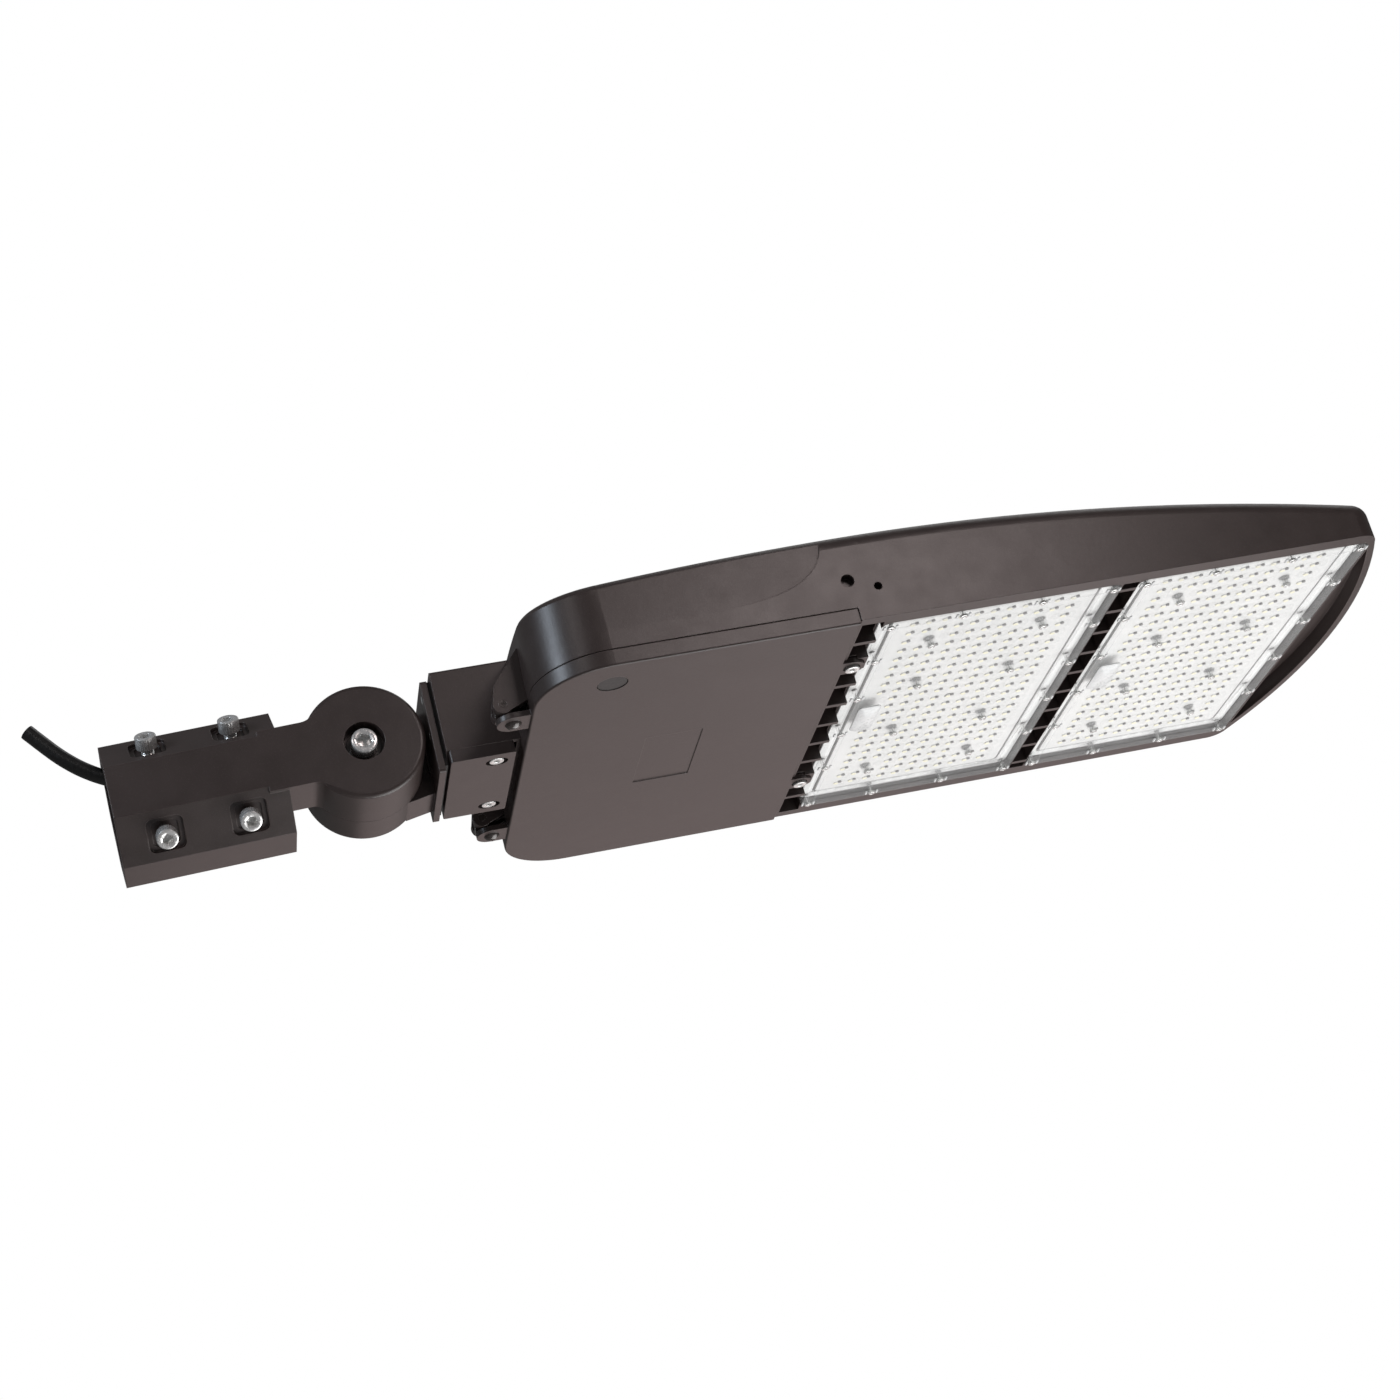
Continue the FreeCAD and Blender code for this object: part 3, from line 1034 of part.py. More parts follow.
def hinge_blocks():
    """Blocks screwed on the door's tongues, each with an eye for its hinge pin."""
    blocks = []
    half = EAR_SLOT / 2 - BLOCK_GAP
    for side in (-1, 1):
        y = side * HINGE_Y
        eye = rod(BLOCK_EYE_R, (HINGE_X, y - half, HINGE_Z), (HINGE_X, y + half, HINGE_Z))
        stem = box(HINGE_X - BLOCK_EYE_R, TONGUE_X + BLOCK_EYE_R, y - half, y + half, TONGUE_TOP_Z, HINGE_Z)
        bore = rod(HINGE_PIN_R + RUNNING, (HINGE_X, y - half - 1, HINGE_Z), (HINGE_X, y + half + 1, HINGE_Z))
        screw_hole = rod(M4_R, (TONGUE_X, y, TONGUE_TOP_Z - 1), (TONGUE_X, y, TONGUE_TOP_Z + M4_GRIP + 1))
        blocks.append(fuse([eye, stem]).cut([bore, screw_hole]))
    return Part.makeCompound(blocks)


def hinge_pins():
    """Hinge pins pressed into the ears."""
    return Part.makeCompound([
        rod(HINGE_PIN_R, (HINGE_X, y - EAR_HALF, HINGE_Z), (HINGE_X, y + EAR_HALF, HINGE_Z))
        for y in (-HINGE_Y, HINGE_Y)])


def hinge_screws():
    """Dome-headed screws from below through the tongues into the hinge blocks."""
    ball_r = arc_radius(DOME_R, DOME_H)
    screws = []
    for side in (-1, 1):
        y = side * HINGE_Y
        ball = Part.makeSphere(ball_r, V(TONGUE_X, y, TONGUE_Z - DOME_H + ball_r))
        dome = ball.common(rod(2 * DOME_R, (TONGUE_X, y, TONGUE_Z - 2 * DOME_H), (TONGUE_X, y, TONGUE_Z)))
        shank = rod(M4_R, (TONGUE_X, y, TONGUE_Z - M4_R / 2), (TONGUE_X, y, TONGUE_TOP_Z + M4_GRIP))
        screws.append(fuse([dome, shank]))
    return Part.makeCompound(screws)


# ---------------------------------------------------------------- inside the bay

def gear_plate():
    """Steel plate that carries the electrical gear."""
    sheet = box(PLATE_X[0], PLATE_X[1], -PLATE_HALF_Y, PLATE_HALF_Y, PLATE_Z, PLATE_Z + PLATE_T)
    return sheet.cut([rod(M4_R + HOLE, (x, y, PLATE_Z - 1), (x, y, PLATE_Z + 3)) for x, y in post_points()])


def gear_plate_screws():
    """Four screws that hold the gear plate to its posts."""
    return Part.makeCompound([
        cap_screw(PLATE_HEAD_R, PLATE_HEAD_H, M4_R, PLATE_SCREW_L, PLATE_KEY, V(x, y, PLATE_Z), V(0, 0, -1))
        for x, y in post_points()])


def led_driver():
    """Constant-current driver in an extruded case."""
    x0, x1, y0, y1 = DRIVER
    case = box(x0, x1, y0, y1, PLATE_Z - DRIVER_H, PLATE_Z)
    case = round_edges(case, 2.0, lambda e: is_along(e, V(0, 1, 0)))
    step = (x1 - x0) / (DRIVER_GROOVES + 1)
    grooves = [box(x0 + step * (k + 0.75), x0 + step * (k + 1.25), y0 - 1, y1 + 1,
                   PLATE_Z - DRIVER_H - 1, PLATE_Z - DRIVER_H + 1) for k in range(DRIVER_GROOVES)]
    return case.cut(grooves)


def surge_protector():
    """Surge protection module."""
    x0, x1, y0, y1 = SURGE
    body = box(x0, x1, y0, y1, PLATE_Z - SURGE_H, PLATE_Z)
    return round_edges(body, 4.0, lambda e: is_along(e, V(0, 0, 1)))


def terminal_block():
    """Terminal block for the incoming supply."""
    x0, x1, y0, y1 = TERMINAL
    body = box(x0, x1, y0, y1, PLATE_Z - TERMINAL_H, PLATE_Z)
    step = (y1 - y0) / POLES
    cuts = [rod(2.4, ((x0 + x1) / 2, y0 + step * (k + 0.5), PLATE_Z - TERMINAL_H - 1),
                ((x0 + x1) / 2, y0 + step * (k + 0.5), PLATE_Z - TERMINAL_H + 5)) for k in range(POLES)]
    return body.cut(cuts)


def bent_rod(points, radius):
    """A round wire through a list of points, with a ball at each bend."""
    pieces = [rod(radius, a, b) for a, b in zip(points, points[1:])]
    pieces.extend(Part.makeSphere(radius, V(*p)) for p in points[1:-1])
    return fuse(pieces)


def inner_cable():
    """Supply cable from the arm's passage, through the neck, to the terminal block."""
    y_end = (TERMINAL[2] + TERMINAL[3]) / 2
    z_end = PLATE_Z - TERMINAL_H / 2
    points = [(FLANGE_X - NECK_GAP, ARM_CABLE_Y, ARM_CABLE_Z),
              (NECK_X + NECK_LENGTH / 2, ARM_CABLE_Y, ARM_CABLE_Z),
              (HEAD_X + 2 * WALL, y_end / 2, z_end), (TERMINAL[0], y_end, z_end)]
    return bent_rod(points, INNER_CABLE_R)


def driver_leads():
    """Wires between the terminal block, the surge protector and the driver."""
    z = PLATE_Z - WIRE_DROP
    y_block = TERMINAL[2] * 0.8
    y_surge = (SURGE[2] + SURGE[3]) / 2
    turn_x = (TERMINAL[1] + DRIVER[0]) / 2
    first = bent_rod([(TERMINAL[1], y_block, z), (turn_x, y_block, z),
                      (DRIVER[0], TERMINAL[2] - 2, z)], WIRE_R)
    second = bent_rod([(SURGE[1], y_surge, z), (DRIVER[0], y_surge + 8, z)], WIRE_R)
    return Part.makeCompound([first, second])


ENVELOPE = head_envelope()

NODES = {
    "slip_fitter": slip_fitter,
    "cord_grommet": cord_grommet,
    "supply_cord": supply_cord,
    "pivot_bolt": pivot_bolt,
    "pivot_head_washer": pivot_head_washer,
    "pivot_nut_washer": pivot_nut_washer,
    "pivot_nut": pivot_nut,
    "knuckle_arm": knuckle_arm,
    "arm_gasket": arm_gasket,
    "arm_screws": arm_screws,
    "housing": housing,
    "neck": neck,
    "hinge_ears": hinge_ears,
    "neck_cover": neck_cover,
    "neck_cover_screws": neck_cover_screws,
    "hinge_pins": hinge_pins,
    "gear_plate": gear_plate,
    "gear_plate_screws": gear_plate_screws,
    "led_driver": led_driver,
    "surge_protector": surge_protector,
    "terminal_block": terminal_block,
    "inner_cable": inner_cable,
    "driver_leads": driver_leads,
    "door": door,
    "door_gasket": door_gasket,
    "door_plug": door_plug,
    "screw_retainers": screw_retainers,
    "hinge_blocks": hinge_blocks,
    "hinge_screws": hinge_screws,
}


def all_nodes():
    """Every sub-part by name, with the repeated ones added by loops."""
    nodes = dict(NODES)
    for number, x in enumerate(MODULES, 1):
        nodes[f"led_board_{number}"] = lambda x=x: led_board(x)
        nodes[f"lens_{number}"] = lambda x=x: lens(x)
        nodes[f"lens_gasket_{number}"] = lambda x=x: lens_gasket(x)
        nodes[f"lens_screws_{number}"] = lambda x=x: lens_screws(x)
    for number, side in enumerate((-1, 1), 1):
        nodes[f"door_screw_{number}"] = lambda side=side: door_screw(side)
    places = [(x, side) for side in SET_SCREW_SIDES for x in SET_SCREW_X]
    for number, (x, side) in enumerate(places, 1):
        nodes[f"set_screw_{number}"] = lambda x=x, side=side: set_screw(x, side)
    return nodes


def main():
    """Build every sub-part and write one STEP file for each."""
    os.makedirs("parts", exist_ok=True)
    spine, radii = cord_path(CORD_POINTS)
    section = math.pi * CABLE_R ** 2
    print(f"cord: length {spine.Length:.1f}, bend radii {[round(r) for r in radii]}, "
          f"section x length {section * spine.Length:.0f} mm3")
    for name, make in all_nodes().items():
        shape = make()
        shape.exportStep(f"parts/{name}.step")
        box_ = shape.BoundBox
        print(f"{name}: {len(shape.Solids)} solids, valid {shape.isValid()}, {shape.Volume:.0f} mm3, "
              f"x {box_.XMin:.1f}..{box_.XMax:.1f} y {box_.YMin:.1f}..{box_.YMax:.1f} "
              f"z {box_.ZMin:.1f}..{box_.ZMax:.1f}")


main()
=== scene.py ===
"""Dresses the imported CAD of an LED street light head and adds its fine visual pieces.

All lengths are in metres in the part's own frame: the origin is the centre of the slip
fitter's mouth, +X runs to the lamp's nose and +Z is up.
"""

import json
import logging
import math
from dataclasses import dataclass, replace
from enum import Enum
from typing import Callable, Sequence

import bpy
from mathutils import Matrix, Vector

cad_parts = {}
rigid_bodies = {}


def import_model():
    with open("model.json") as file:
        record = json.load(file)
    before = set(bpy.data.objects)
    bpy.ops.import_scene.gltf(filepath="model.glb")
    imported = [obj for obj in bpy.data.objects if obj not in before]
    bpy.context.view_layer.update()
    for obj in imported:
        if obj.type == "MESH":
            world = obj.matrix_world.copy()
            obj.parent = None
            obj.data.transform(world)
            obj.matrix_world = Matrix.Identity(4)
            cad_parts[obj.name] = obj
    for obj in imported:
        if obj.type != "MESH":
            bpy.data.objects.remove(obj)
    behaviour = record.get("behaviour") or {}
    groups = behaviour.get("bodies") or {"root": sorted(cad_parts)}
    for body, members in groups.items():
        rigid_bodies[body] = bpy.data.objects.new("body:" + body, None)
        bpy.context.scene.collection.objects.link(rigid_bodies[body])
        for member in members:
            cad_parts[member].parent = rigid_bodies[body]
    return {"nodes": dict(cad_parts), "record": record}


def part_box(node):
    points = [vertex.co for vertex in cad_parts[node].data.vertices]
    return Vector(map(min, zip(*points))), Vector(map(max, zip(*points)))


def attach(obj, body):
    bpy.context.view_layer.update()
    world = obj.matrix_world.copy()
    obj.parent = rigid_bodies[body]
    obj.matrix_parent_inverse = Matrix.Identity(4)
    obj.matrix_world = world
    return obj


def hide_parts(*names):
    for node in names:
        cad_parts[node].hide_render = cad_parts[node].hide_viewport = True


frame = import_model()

LOG = logging.getLogger("street_light")
MM = 0.001
Color = tuple[float, float, float]
Point = tuple[float, float, float]
Span = tuple[float, float]
Socket = bpy.types.NodeSocket
Ring = list[Vector]
DOWN = Vector((0.0, 0.0, -1.0))


class Slot(str, Enum):
    """Material slots of the part's record."""

    CASTING = "bronze_casting"
    STAINLESS = "stainless"
    DARK_STEEL = "dark_steel"
    ZINC = "zinc_steel"
    RUBBER = "black_rubber"
    CABLE = "black_cable"
    SILICONE = "grey_silicone"
    WHITE_SILICONE = "white_silicone"
    LENS = "clear_lens"
    BOARD = "white_board"
    DRIVER = "driver_case"
    NYLON = "white_nylon"
    BLACK_PLASTIC = "black_plastic"
    BRONZE_PLASTIC = "bronze_plastic"


class Body(str, Enum):
    """Moving bodies of the part that visual pieces ride on."""

    FITTER = "slip_fitter"
    HEAD = "lamp_head"
    DOOR_SCREW_1 = "door_screw_1"
    DOOR_SCREW_2 = "door_screw_2"


# ------------------------------------------------------------------ shader writing


class Graph:
    """Writes one material's shader nodes."""

    MIX_FACTOR, MIX_FIRST, MIX_SECOND, MIX_RESULT = 0, 6, 7, 2
    BEVEL_SAMPLES = 4
    EDGE_FROM: Span = (0.995, 0.8)

    def __init__(self, name: str) -> None:
        """Start a material with a Principled surface.

        Args:
            name: the material's name.
        """
        self.material = bpy.data.materials.new(name)
        self.material.use_nodes = True
        self.tree = self.material.node_tree
        self.tree.nodes.clear()
        self.surface = self.node("ShaderNodeBsdfPrincipled")
        output = self.node("ShaderNodeOutputMaterial")
        self.link(self.surface.outputs["BSDF"], output.inputs["Surface"])
        coordinates = self.node("ShaderNodeTexCoord")
        self.place = coordinates.outputs["Object"]

    def node(self, kind: str) -> bpy.types.Node:
        """Add one node of a kind."""
        return self.tree.nodes.new(kind)

    def link(self, source: Socket, target: Socket) -> None:
        """Join two sockets."""
        self.tree.links.new(source, target)

    def put(self, target: Socket, value: object) -> None:
        """Give a socket a value or a link.

        Args:
            target: the input socket.
            value: a number, a colour or another node's output socket.
        """
        if isinstance(value, Socket):
            self.link(value, target)
        elif isinstance(value, tuple) and target.type == "RGBA":
            target.default_value = (*value[:3], 1.0)
        else:
            target.default_value = value

    def stretched(self, scale: Point) -> Socket:
        """Object coordinates scaled along the axes.

        Args:
            scale: factors along the axes.

        Returns:
            The changed coordinates.
        """
        mapping = self.node("ShaderNodeMapping")
        self.link(self.place, mapping.inputs["Vector"])
        mapping.inputs["Scale"].default_value = scale
        return mapping.outputs["Vector"]

    def noise(self, scale: float, detail: float, place: Socket | None = None) -> Socket:
        """Smooth noise.

        Args:
            scale: features per metre, roughly.
            detail: number of finer layers.
            place: coordinates, the object's own when left out.

        Returns:
            The noise from 0 to 1.
        """
        texture = self.node("ShaderNodeTexNoise")
        self.link(place or self.place, texture.inputs["Vector"])
        texture.inputs["Scale"].default_value = scale
        texture.inputs["Detail"].default_value = detail
        return texture.outputs["Fac"]

    def cells(self, scale: float) -> Socket:
        """Distance to the nearest of many scattered points, for flecks and pits."""
        texture = self.node("ShaderNodeTexVoronoi")
        self.link(self.place, texture.inputs["Vector"])
        texture.inputs["Scale"].default_value = scale
        return texture.outputs["Distance"]

    def spread(self, value: Socket, source: Span, result: Span) -> Socket:
        """Map one range to another, held at its ends.

        Args:
            value: the input.
            source: the input's range.
            result: the output's range.

        Returns:
            The mapped value.
        """
        remap = self.node("ShaderNodeMapRange")
        self.link(value, remap.inputs["Value"])
        for end, start, finish in zip(("Min", "Max"), source, result):
            remap.inputs[f"From {end}"].default_value = start
            remap.inputs[f"To {end}"].default_value = finish
        return remap.outputs["Result"]

    def blend(self, factor: Socket, first: object, second: object) -> Socket:
        """Mix two colours.

        Args:
            factor: 0 for the first, 1 for the second.
            first: a colour or a socket.
            second: a colour or a socket.

        Returns:
            The mixed colour.
        """
        mix = self.node("ShaderNodeMix")
        mix.data_type = "RGBA"
        self.link(factor, mix.inputs[self.MIX_FACTOR])
        self.put(mix.inputs[self.MIX_FIRST], first)
        self.put(mix.inputs[self.MIX_SECOND], second)
        return mix.outputs[self.MIX_RESULT]

    def add(self, first: Socket, second: Socket) -> Socket:
        """The sum of two values.

        Args:
            first: a value.
            second: another value.

        Returns:
            Their sum.
        """
        step = self.node("ShaderNodeMath")
        step.operation = "ADD"
        self.link(first, step.inputs[0])
        self.link(second, step.inputs[1])
        return step.outputs[0]

    def bump(self, height: Socket, depth: float, normal: Socket | None = None) -> Socket:
        """Relief on the surface.

        Args:
            height: the relief from 0 to 1.
            depth: its depth in metres.
            normal: the normal it starts from.

        Returns:
            The changed normal.
        """
        relief = self.node("ShaderNodeBump")
        relief.inputs["Distance"].default_value = depth
        self.link(height, relief.inputs["Height"])
        if normal is not None:
            self.link(normal, relief.inputs["Normal"])
        return relief.outputs["Normal"]

    def rounded(self, radius: float) -> tuple[Socket, Socket]:
        """Soft edges.

        Args:
            radius: the edge's radius in metres.

        Returns:
            The softened normal, and how near a sharp edge the point is, from 0 to 1.
        """
        bevel = self.node("ShaderNodeBevel")
        bevel.samples = self.BEVEL_SAMPLES
        bevel.inputs["Radius"].default_value = radius
        flat = self.node("ShaderNodeNewGeometry")
        dot = self.node("ShaderNodeVectorMath")
        dot.operation = "DOT_PRODUCT"
        self.link(bevel.outputs["Normal"], dot.inputs[0])
        self.link(flat.outputs["Normal"], dot.inputs[1])
        return bevel.outputs["Normal"], self.spread(dot.outputs["Value"], self.EDGE_FROM, (0.0, 1.0))


# ------------------------------------------------------------------------ finishes


@dataclass
class Skin:
    """What a material's surface has so far: colour, roughness and normal."""

    color: Socket
    rough: Socket
    normal: Socket | None = None


@dataclass(frozen=True)
class Finish:
    """A finish: colour, sheen and relief of one kind of surface."""

    name: str
    dark: Color
    light: Color
    roughness: float = 0.45
    roughness_swing: float = 0.08
    metallic: float = 0.0
    specular: float = 0.5
    coat: float = 0.0
    coat_roughness: float = 0.2
    alpha: float = 1.0
    cloud_scale: float = 14.0
    cloud_detail: float = 4.0
    mottle_ratio: float = 9.0
    mottle_detail: float = 2.0
    tone_from: Span = (0.75, 1.25)
    rough_from: Span = (0.3, 0.7)
    grain_scale: float = 900.0
    grain_detail: float = 2.0
    grain_depth: float = 0.00002
    edge_radius: float = 0.0
    # lighter colour blended onto sharp edges: a painted highlight along the edges, partly edge wear
    edge_wear_and_highlight: Color | None = None

    def build(self) -> bpy.types.Material:
        """Write the finish as a material.

        Returns:
            The material.
        """
        graph = Graph(self.name)
        cloud = graph.noise(self.cloud_scale, self.cloud_detail)
        mottle = graph.noise(self.cloud_scale * self.mottle_ratio, self.mottle_detail)
        tone = graph.spread(graph.add(cloud, mottle), self.tone_from, (0.0, 1.0))
        color = graph.blend(tone, self.dark, self.light)
        sheen = (self.roughness - self.roughness_swing, self.roughness + self.roughness_swing)
        skin = Skin(color, graph.spread(mottle, self.rough_from, sheen))
        if self.edge_radius > 0.0:
            skin.normal, edge = graph.rounded(self.edge_radius)
            # Sharp edges turn lighter here: a painted highlight, partly edge wear.
            skin.color = graph.blend(edge, skin.color, self.edge_wear_and_highlight or self.light)
        self.detail(graph, skin)
        values = {"Metallic": self.metallic, "Specular IOR Level": self.specular, "Coat Weight": self.coat,
                  "Coat Roughness": self.coat_roughness, "Alpha": self.alpha}
        links = {"Base Color": skin.color, "Roughness": skin.rough, "Normal": skin.normal}
        for name, value in {**links, **values}.items():
            graph.put(graph.surface.inputs[name], value)
        return graph.material

    def detail(self, graph: Graph, skin: Skin) -> None:
        """Add what is special to this kind of surface: here only its grain.

        Args:
            graph: the material's nodes.
            skin: the surface so far, changed in place.
        """
        grain = graph.noise(self.grain_scale, self.grain_detail)
        skin.normal = graph.bump(grain, self.grain_depth, skin.normal)


@dataclass(frozen=True)
class PowderCoat(Finish):
    """Baked powder paint: fine orange peel with small lighter flecks."""

    fleck: Color = (0.14, 0.125, 0.115)
    fleck_scale: float = 1300.0
    fleck_reach: Span = (0.22, 0.1)
    fleck_share: float = 0.45
    peel_scale: float = 420.0
    peel_detail: float = 1.0
    peel_depth: float = 0.00003
    grain_detail: float = 1.0

    def detail(self, graph: Graph, skin: Skin) -> None:
        """Orange peel, grain and flecks.

        Args:
            graph: the material's nodes.
            skin: the surface so far, changed in place.
        """
        flecks = graph.spread(graph.cells(self.fleck_scale), self.fleck_reach, (0.0, self.fleck_share))
        skin.color = graph.blend(flecks, skin.color, self.fleck)
        peel = graph.noise(self.peel_scale, self.peel_detail)
        skin.normal = graph.bump(peel, self.peel_depth, skin.normal)
        super().detail(graph, skin)


@dataclass(frozen=True)
class TurnedSteel(Finish):
    """Bright machined steel with fine tool lines."""

    line_scale: Point = (300.0, 5200.0, 300.0)
    line_detail: float = 2.0
    line_depth: float = 0.000006
    stain_scale: float = 260.0
    stain_detail: float = 3.0
    stain_from: Span = (0.5, 0.75)
    stain_dulling: float = 0.16

    def detail(self, graph: Graph, skin: Skin) -> None:
        """Tool lines and small dull stains.

        Args:
            graph: the material's nodes.
            skin: the surface so far, changed in place.
        """
        lines = graph.noise(1.0, self.line_detail, graph.stretched(self.line_scale))
        stain = graph.noise(self.stain_scale, self.stain_detail)
        stain = graph.spread(stain, self.stain_from, (0.0, self.stain_dulling))
        skin.rough = graph.add(skin.rough, stain)
        skin.normal = graph.bump(lines, self.line_depth, skin.normal)


@dataclass(frozen=True)
class CableJacket(Finish):
    """Extruded cable jacket: glossy, with soft length-wise ripples."""

    ripple_scale: Point = (60.0, 700.0, 60.0)
    ripple_detail: float = 1.0
    ripple_depth: float = 0.00006
    scuff_scale: float = 520.0
    scuff_detail: float = 4.0
    scuff_from: Span = (0.6, 0.75)
    scuff_dulling: float = 0.12

    def detail(self, graph: Graph, skin: Skin) -> None:
        """Ripples, faint scuffs and grain.

        Args:
            graph: the material's nodes.
            skin: the surface so far, changed in place.
        """
        ripples = graph.noise(1.0, self.ripple_detail, graph.stretched(self.ripple_scale))
        skin.normal = graph.bump(ripples, self.ripple_depth, skin.normal)
        scuff = graph.noise(self.scuff_scale, self.scuff_detail)
        scuff = graph.spread(scuff, self.scuff_from, (0.0, self.scuff_dulling))
        skin.rough = graph.add(skin.rough, scuff)
        super().detail(graph, skin)


@dataclass(frozen=True)
class MouldedLens(Finish):
    """Clear moulded optic: flow marks and a faint mould texture."""

    flow_scale: Point = (90.0, 22.0, 40.0)
    flow_detail: float = 3.0
    flow_depth: float = 0.0004

    def detail(self, graph: Graph, skin: Skin) -> None:
        """Flow marks and grain.

        Args:
            graph: the material's nodes.
            skin: the surface so far, changed in place.
        """
        flow = graph.noise(1.0, self.flow_detail, graph.stretched(self.flow_scale))
        skin.normal = graph.bump(flow, self.flow_depth, skin.normal)
        super().detail(graph, skin)


@dataclass(frozen=True)
class CircuitBoard(Finish):
    """White solder mask with the faint outlines of the copper pads under it."""

    pad_pitch: Span = (10.35 * MM, 12.5 * MM)
    pad_gap: float = 0.2 * MM
    pad_line: Color = (0.66, 0.68, 0.67)
    pad_share: float = 0.5
    pad_depth: float = 0.04 * MM

    def detail(self, graph: Graph, skin: Skin) -> None:
        """Outlines of the copper pads, and grain.

        Args:
            graph: the material's nodes.
            skin: the surface so far, changed in place.
        """
        brick = graph.node("ShaderNodeTexBrick")
        graph.link(graph.stretched((1.0, 1.0, 0.0)), brick.inputs["Vector"])
        sizes = {"Scale": 1.0, "Brick Width": self.pad_pitch[0], "Row Height": self.pad_pitch[1],
                 "Mortar Size": self.pad_gap}
        for name, value in sizes.items():
            brick.inputs[name].default_value = value
        gap = brick.outputs["Fac"]
        line = graph.spread(gap, (0.0, 1.0), (0.0, self.pad_share))
        skin.color = graph.blend(line, skin.color, self.pad_line)
        skin.normal = graph.bump(gap, self.pad_depth, skin.normal)
        super().detail(graph, skin)


FINISHES: dict[Slot, Finish] = {
    Slot.CASTING: PowderCoat(
        "dark_bronze_powder_coat", (0.036, 0.026, 0.024), (0.044, 0.032, 0.030), roughness=0.36,
        roughness_swing=0.02, specular=0.5, cloud_scale=7.0, grain_scale=2600.0, grain_depth=0.00002,
        edge_radius=0.0007, edge_wear_and_highlight=(0.125, 0.100, 0.092)),
    Slot.STAINLESS: TurnedSteel(
        "bright_stainless", (0.66, 0.66, 0.65), (0.84, 0.84, 0.83), roughness=0.22,
        roughness_swing=0.06, metallic=0.6, cloud_scale=90.0, edge_radius=0.0002,
        edge_wear_and_highlight=(0.9, 0.9, 0.89)),
    Slot.DARK_STEEL: TurnedSteel(
        "dark_bronze_steel", (0.030, 0.023, 0.021), (0.050, 0.039, 0.035), roughness=0.2, metallic=0.2,
        coat=0.6, cloud_scale=60.0, edge_radius=0.0004, edge_wear_and_highlight=(0.12, 0.10, 0.09)),
    Slot.ZINC: TurnedSteel(
        "zinc_plated_steel", (0.46, 0.48, 0.50), (0.66, 0.67, 0.66), roughness=0.33,
        roughness_swing=0.1, metallic=0.85, cloud_scale=45.0, edge_radius=0.0003,
        edge_wear_and_highlight=(0.78, 0.78, 0.77)),
    Slot.RUBBER: Finish(
        "black_rubber", (0.012, 0.012, 0.012), (0.024, 0.023, 0.022), roughness=0.7, specular=0.35,
        cloud_scale=60.0, grain_scale=1500.0, grain_depth=0.00004, edge_radius=0.0004,
        edge_wear_and_highlight=(0.04, 0.04, 0.038)),
    Slot.CABLE: CableJacket(
        "black_cable_jacket", (0.003, 0.003, 0.003), (0.006, 0.006, 0.006), roughness=0.3,
        roughness_swing=0.06, coat=0.3, cloud_scale=50.0, grain_scale=1200.0, grain_depth=0.000004),
    Slot.SILICONE: Finish(
        "grey_silicone", (0.26, 0.26, 0.26), (0.34, 0.34, 0.34), roughness=0.6, cloud_scale=50.0,
        grain_scale=1300.0, grain_depth=0.00003, edge_radius=0.0004, edge_wear_and_highlight=(0.45, 0.45, 0.45)),
    Slot.WHITE_SILICONE: Finish(
        "white_silicone", (0.88, 0.89, 0.88), (0.95, 0.95, 0.94), roughness=0.55, cloud_scale=50.0,
        grain_scale=1300.0, grain_depth=0.00003, edge_radius=0.0004, edge_wear_and_highlight=(0.92, 0.92, 0.91)),
    Slot.LENS: MouldedLens(
        "clear_moulded_lens", (0.86, 0.87, 0.87), (0.94, 0.95, 0.95), roughness=0.14,
        roughness_swing=0.05, specular=0.5, alpha=0.13, cloud_scale=24.0, grain_scale=1500.0,
        grain_depth=0.00001, edge_radius=0.0003, edge_wear_and_highlight=(0.98, 0.99, 1.0)),
    Slot.BOARD: CircuitBoard(
        "white_solder_mask", (0.76, 0.77, 0.76), (0.83, 0.83, 0.82), roughness=0.4, cloud_scale=30.0,
        grain_scale=1800.0, grain_depth=0.00001),
    Slot.DRIVER: TurnedSteel(
        "anodised_driver_case", (0.40, 0.41, 0.42), (0.55, 0.56, 0.57), roughness=0.4, metallic=0.7,
        cloud_scale=20.0, line_scale=(90.0, 2600.0, 300.0), edge_radius=0.0006,
        edge_wear_and_highlight=(0.7, 0.7, 0.7)),
    Slot.NYLON: Finish(
        "white_nylon", (0.66, 0.65, 0.61), (0.78, 0.77, 0.73), roughness=0.5, cloud_scale=60.0,
        grain_scale=1500.0, grain_depth=0.00003, edge_radius=0.0003, edge_wear_and_highlight=(0.85, 0.84, 0.8)),
    Slot.BLACK_PLASTIC: Finish(
        "black_plastic", (0.020, 0.020, 0.021), (0.036, 0.036, 0.037), roughness=0.45, cloud_scale=60.0,
        grain_scale=1700.0, grain_depth=0.00004, edge_radius=0.0005, edge_wear_and_highlight=(0.07, 0.07, 0.07)),
    Slot.BRONZE_PLASTIC: Finish(
        "bronze_plastic", (0.012, 0.010, 0.010), (0.020, 0.017, 0.016), roughness=0.5, cloud_scale=60.0,
        grain_scale=1700.0, grain_depth=0.00004, edge_radius=0.0005, edge_wear_and_highlight=(0.09, 0.08, 0.07)),
}

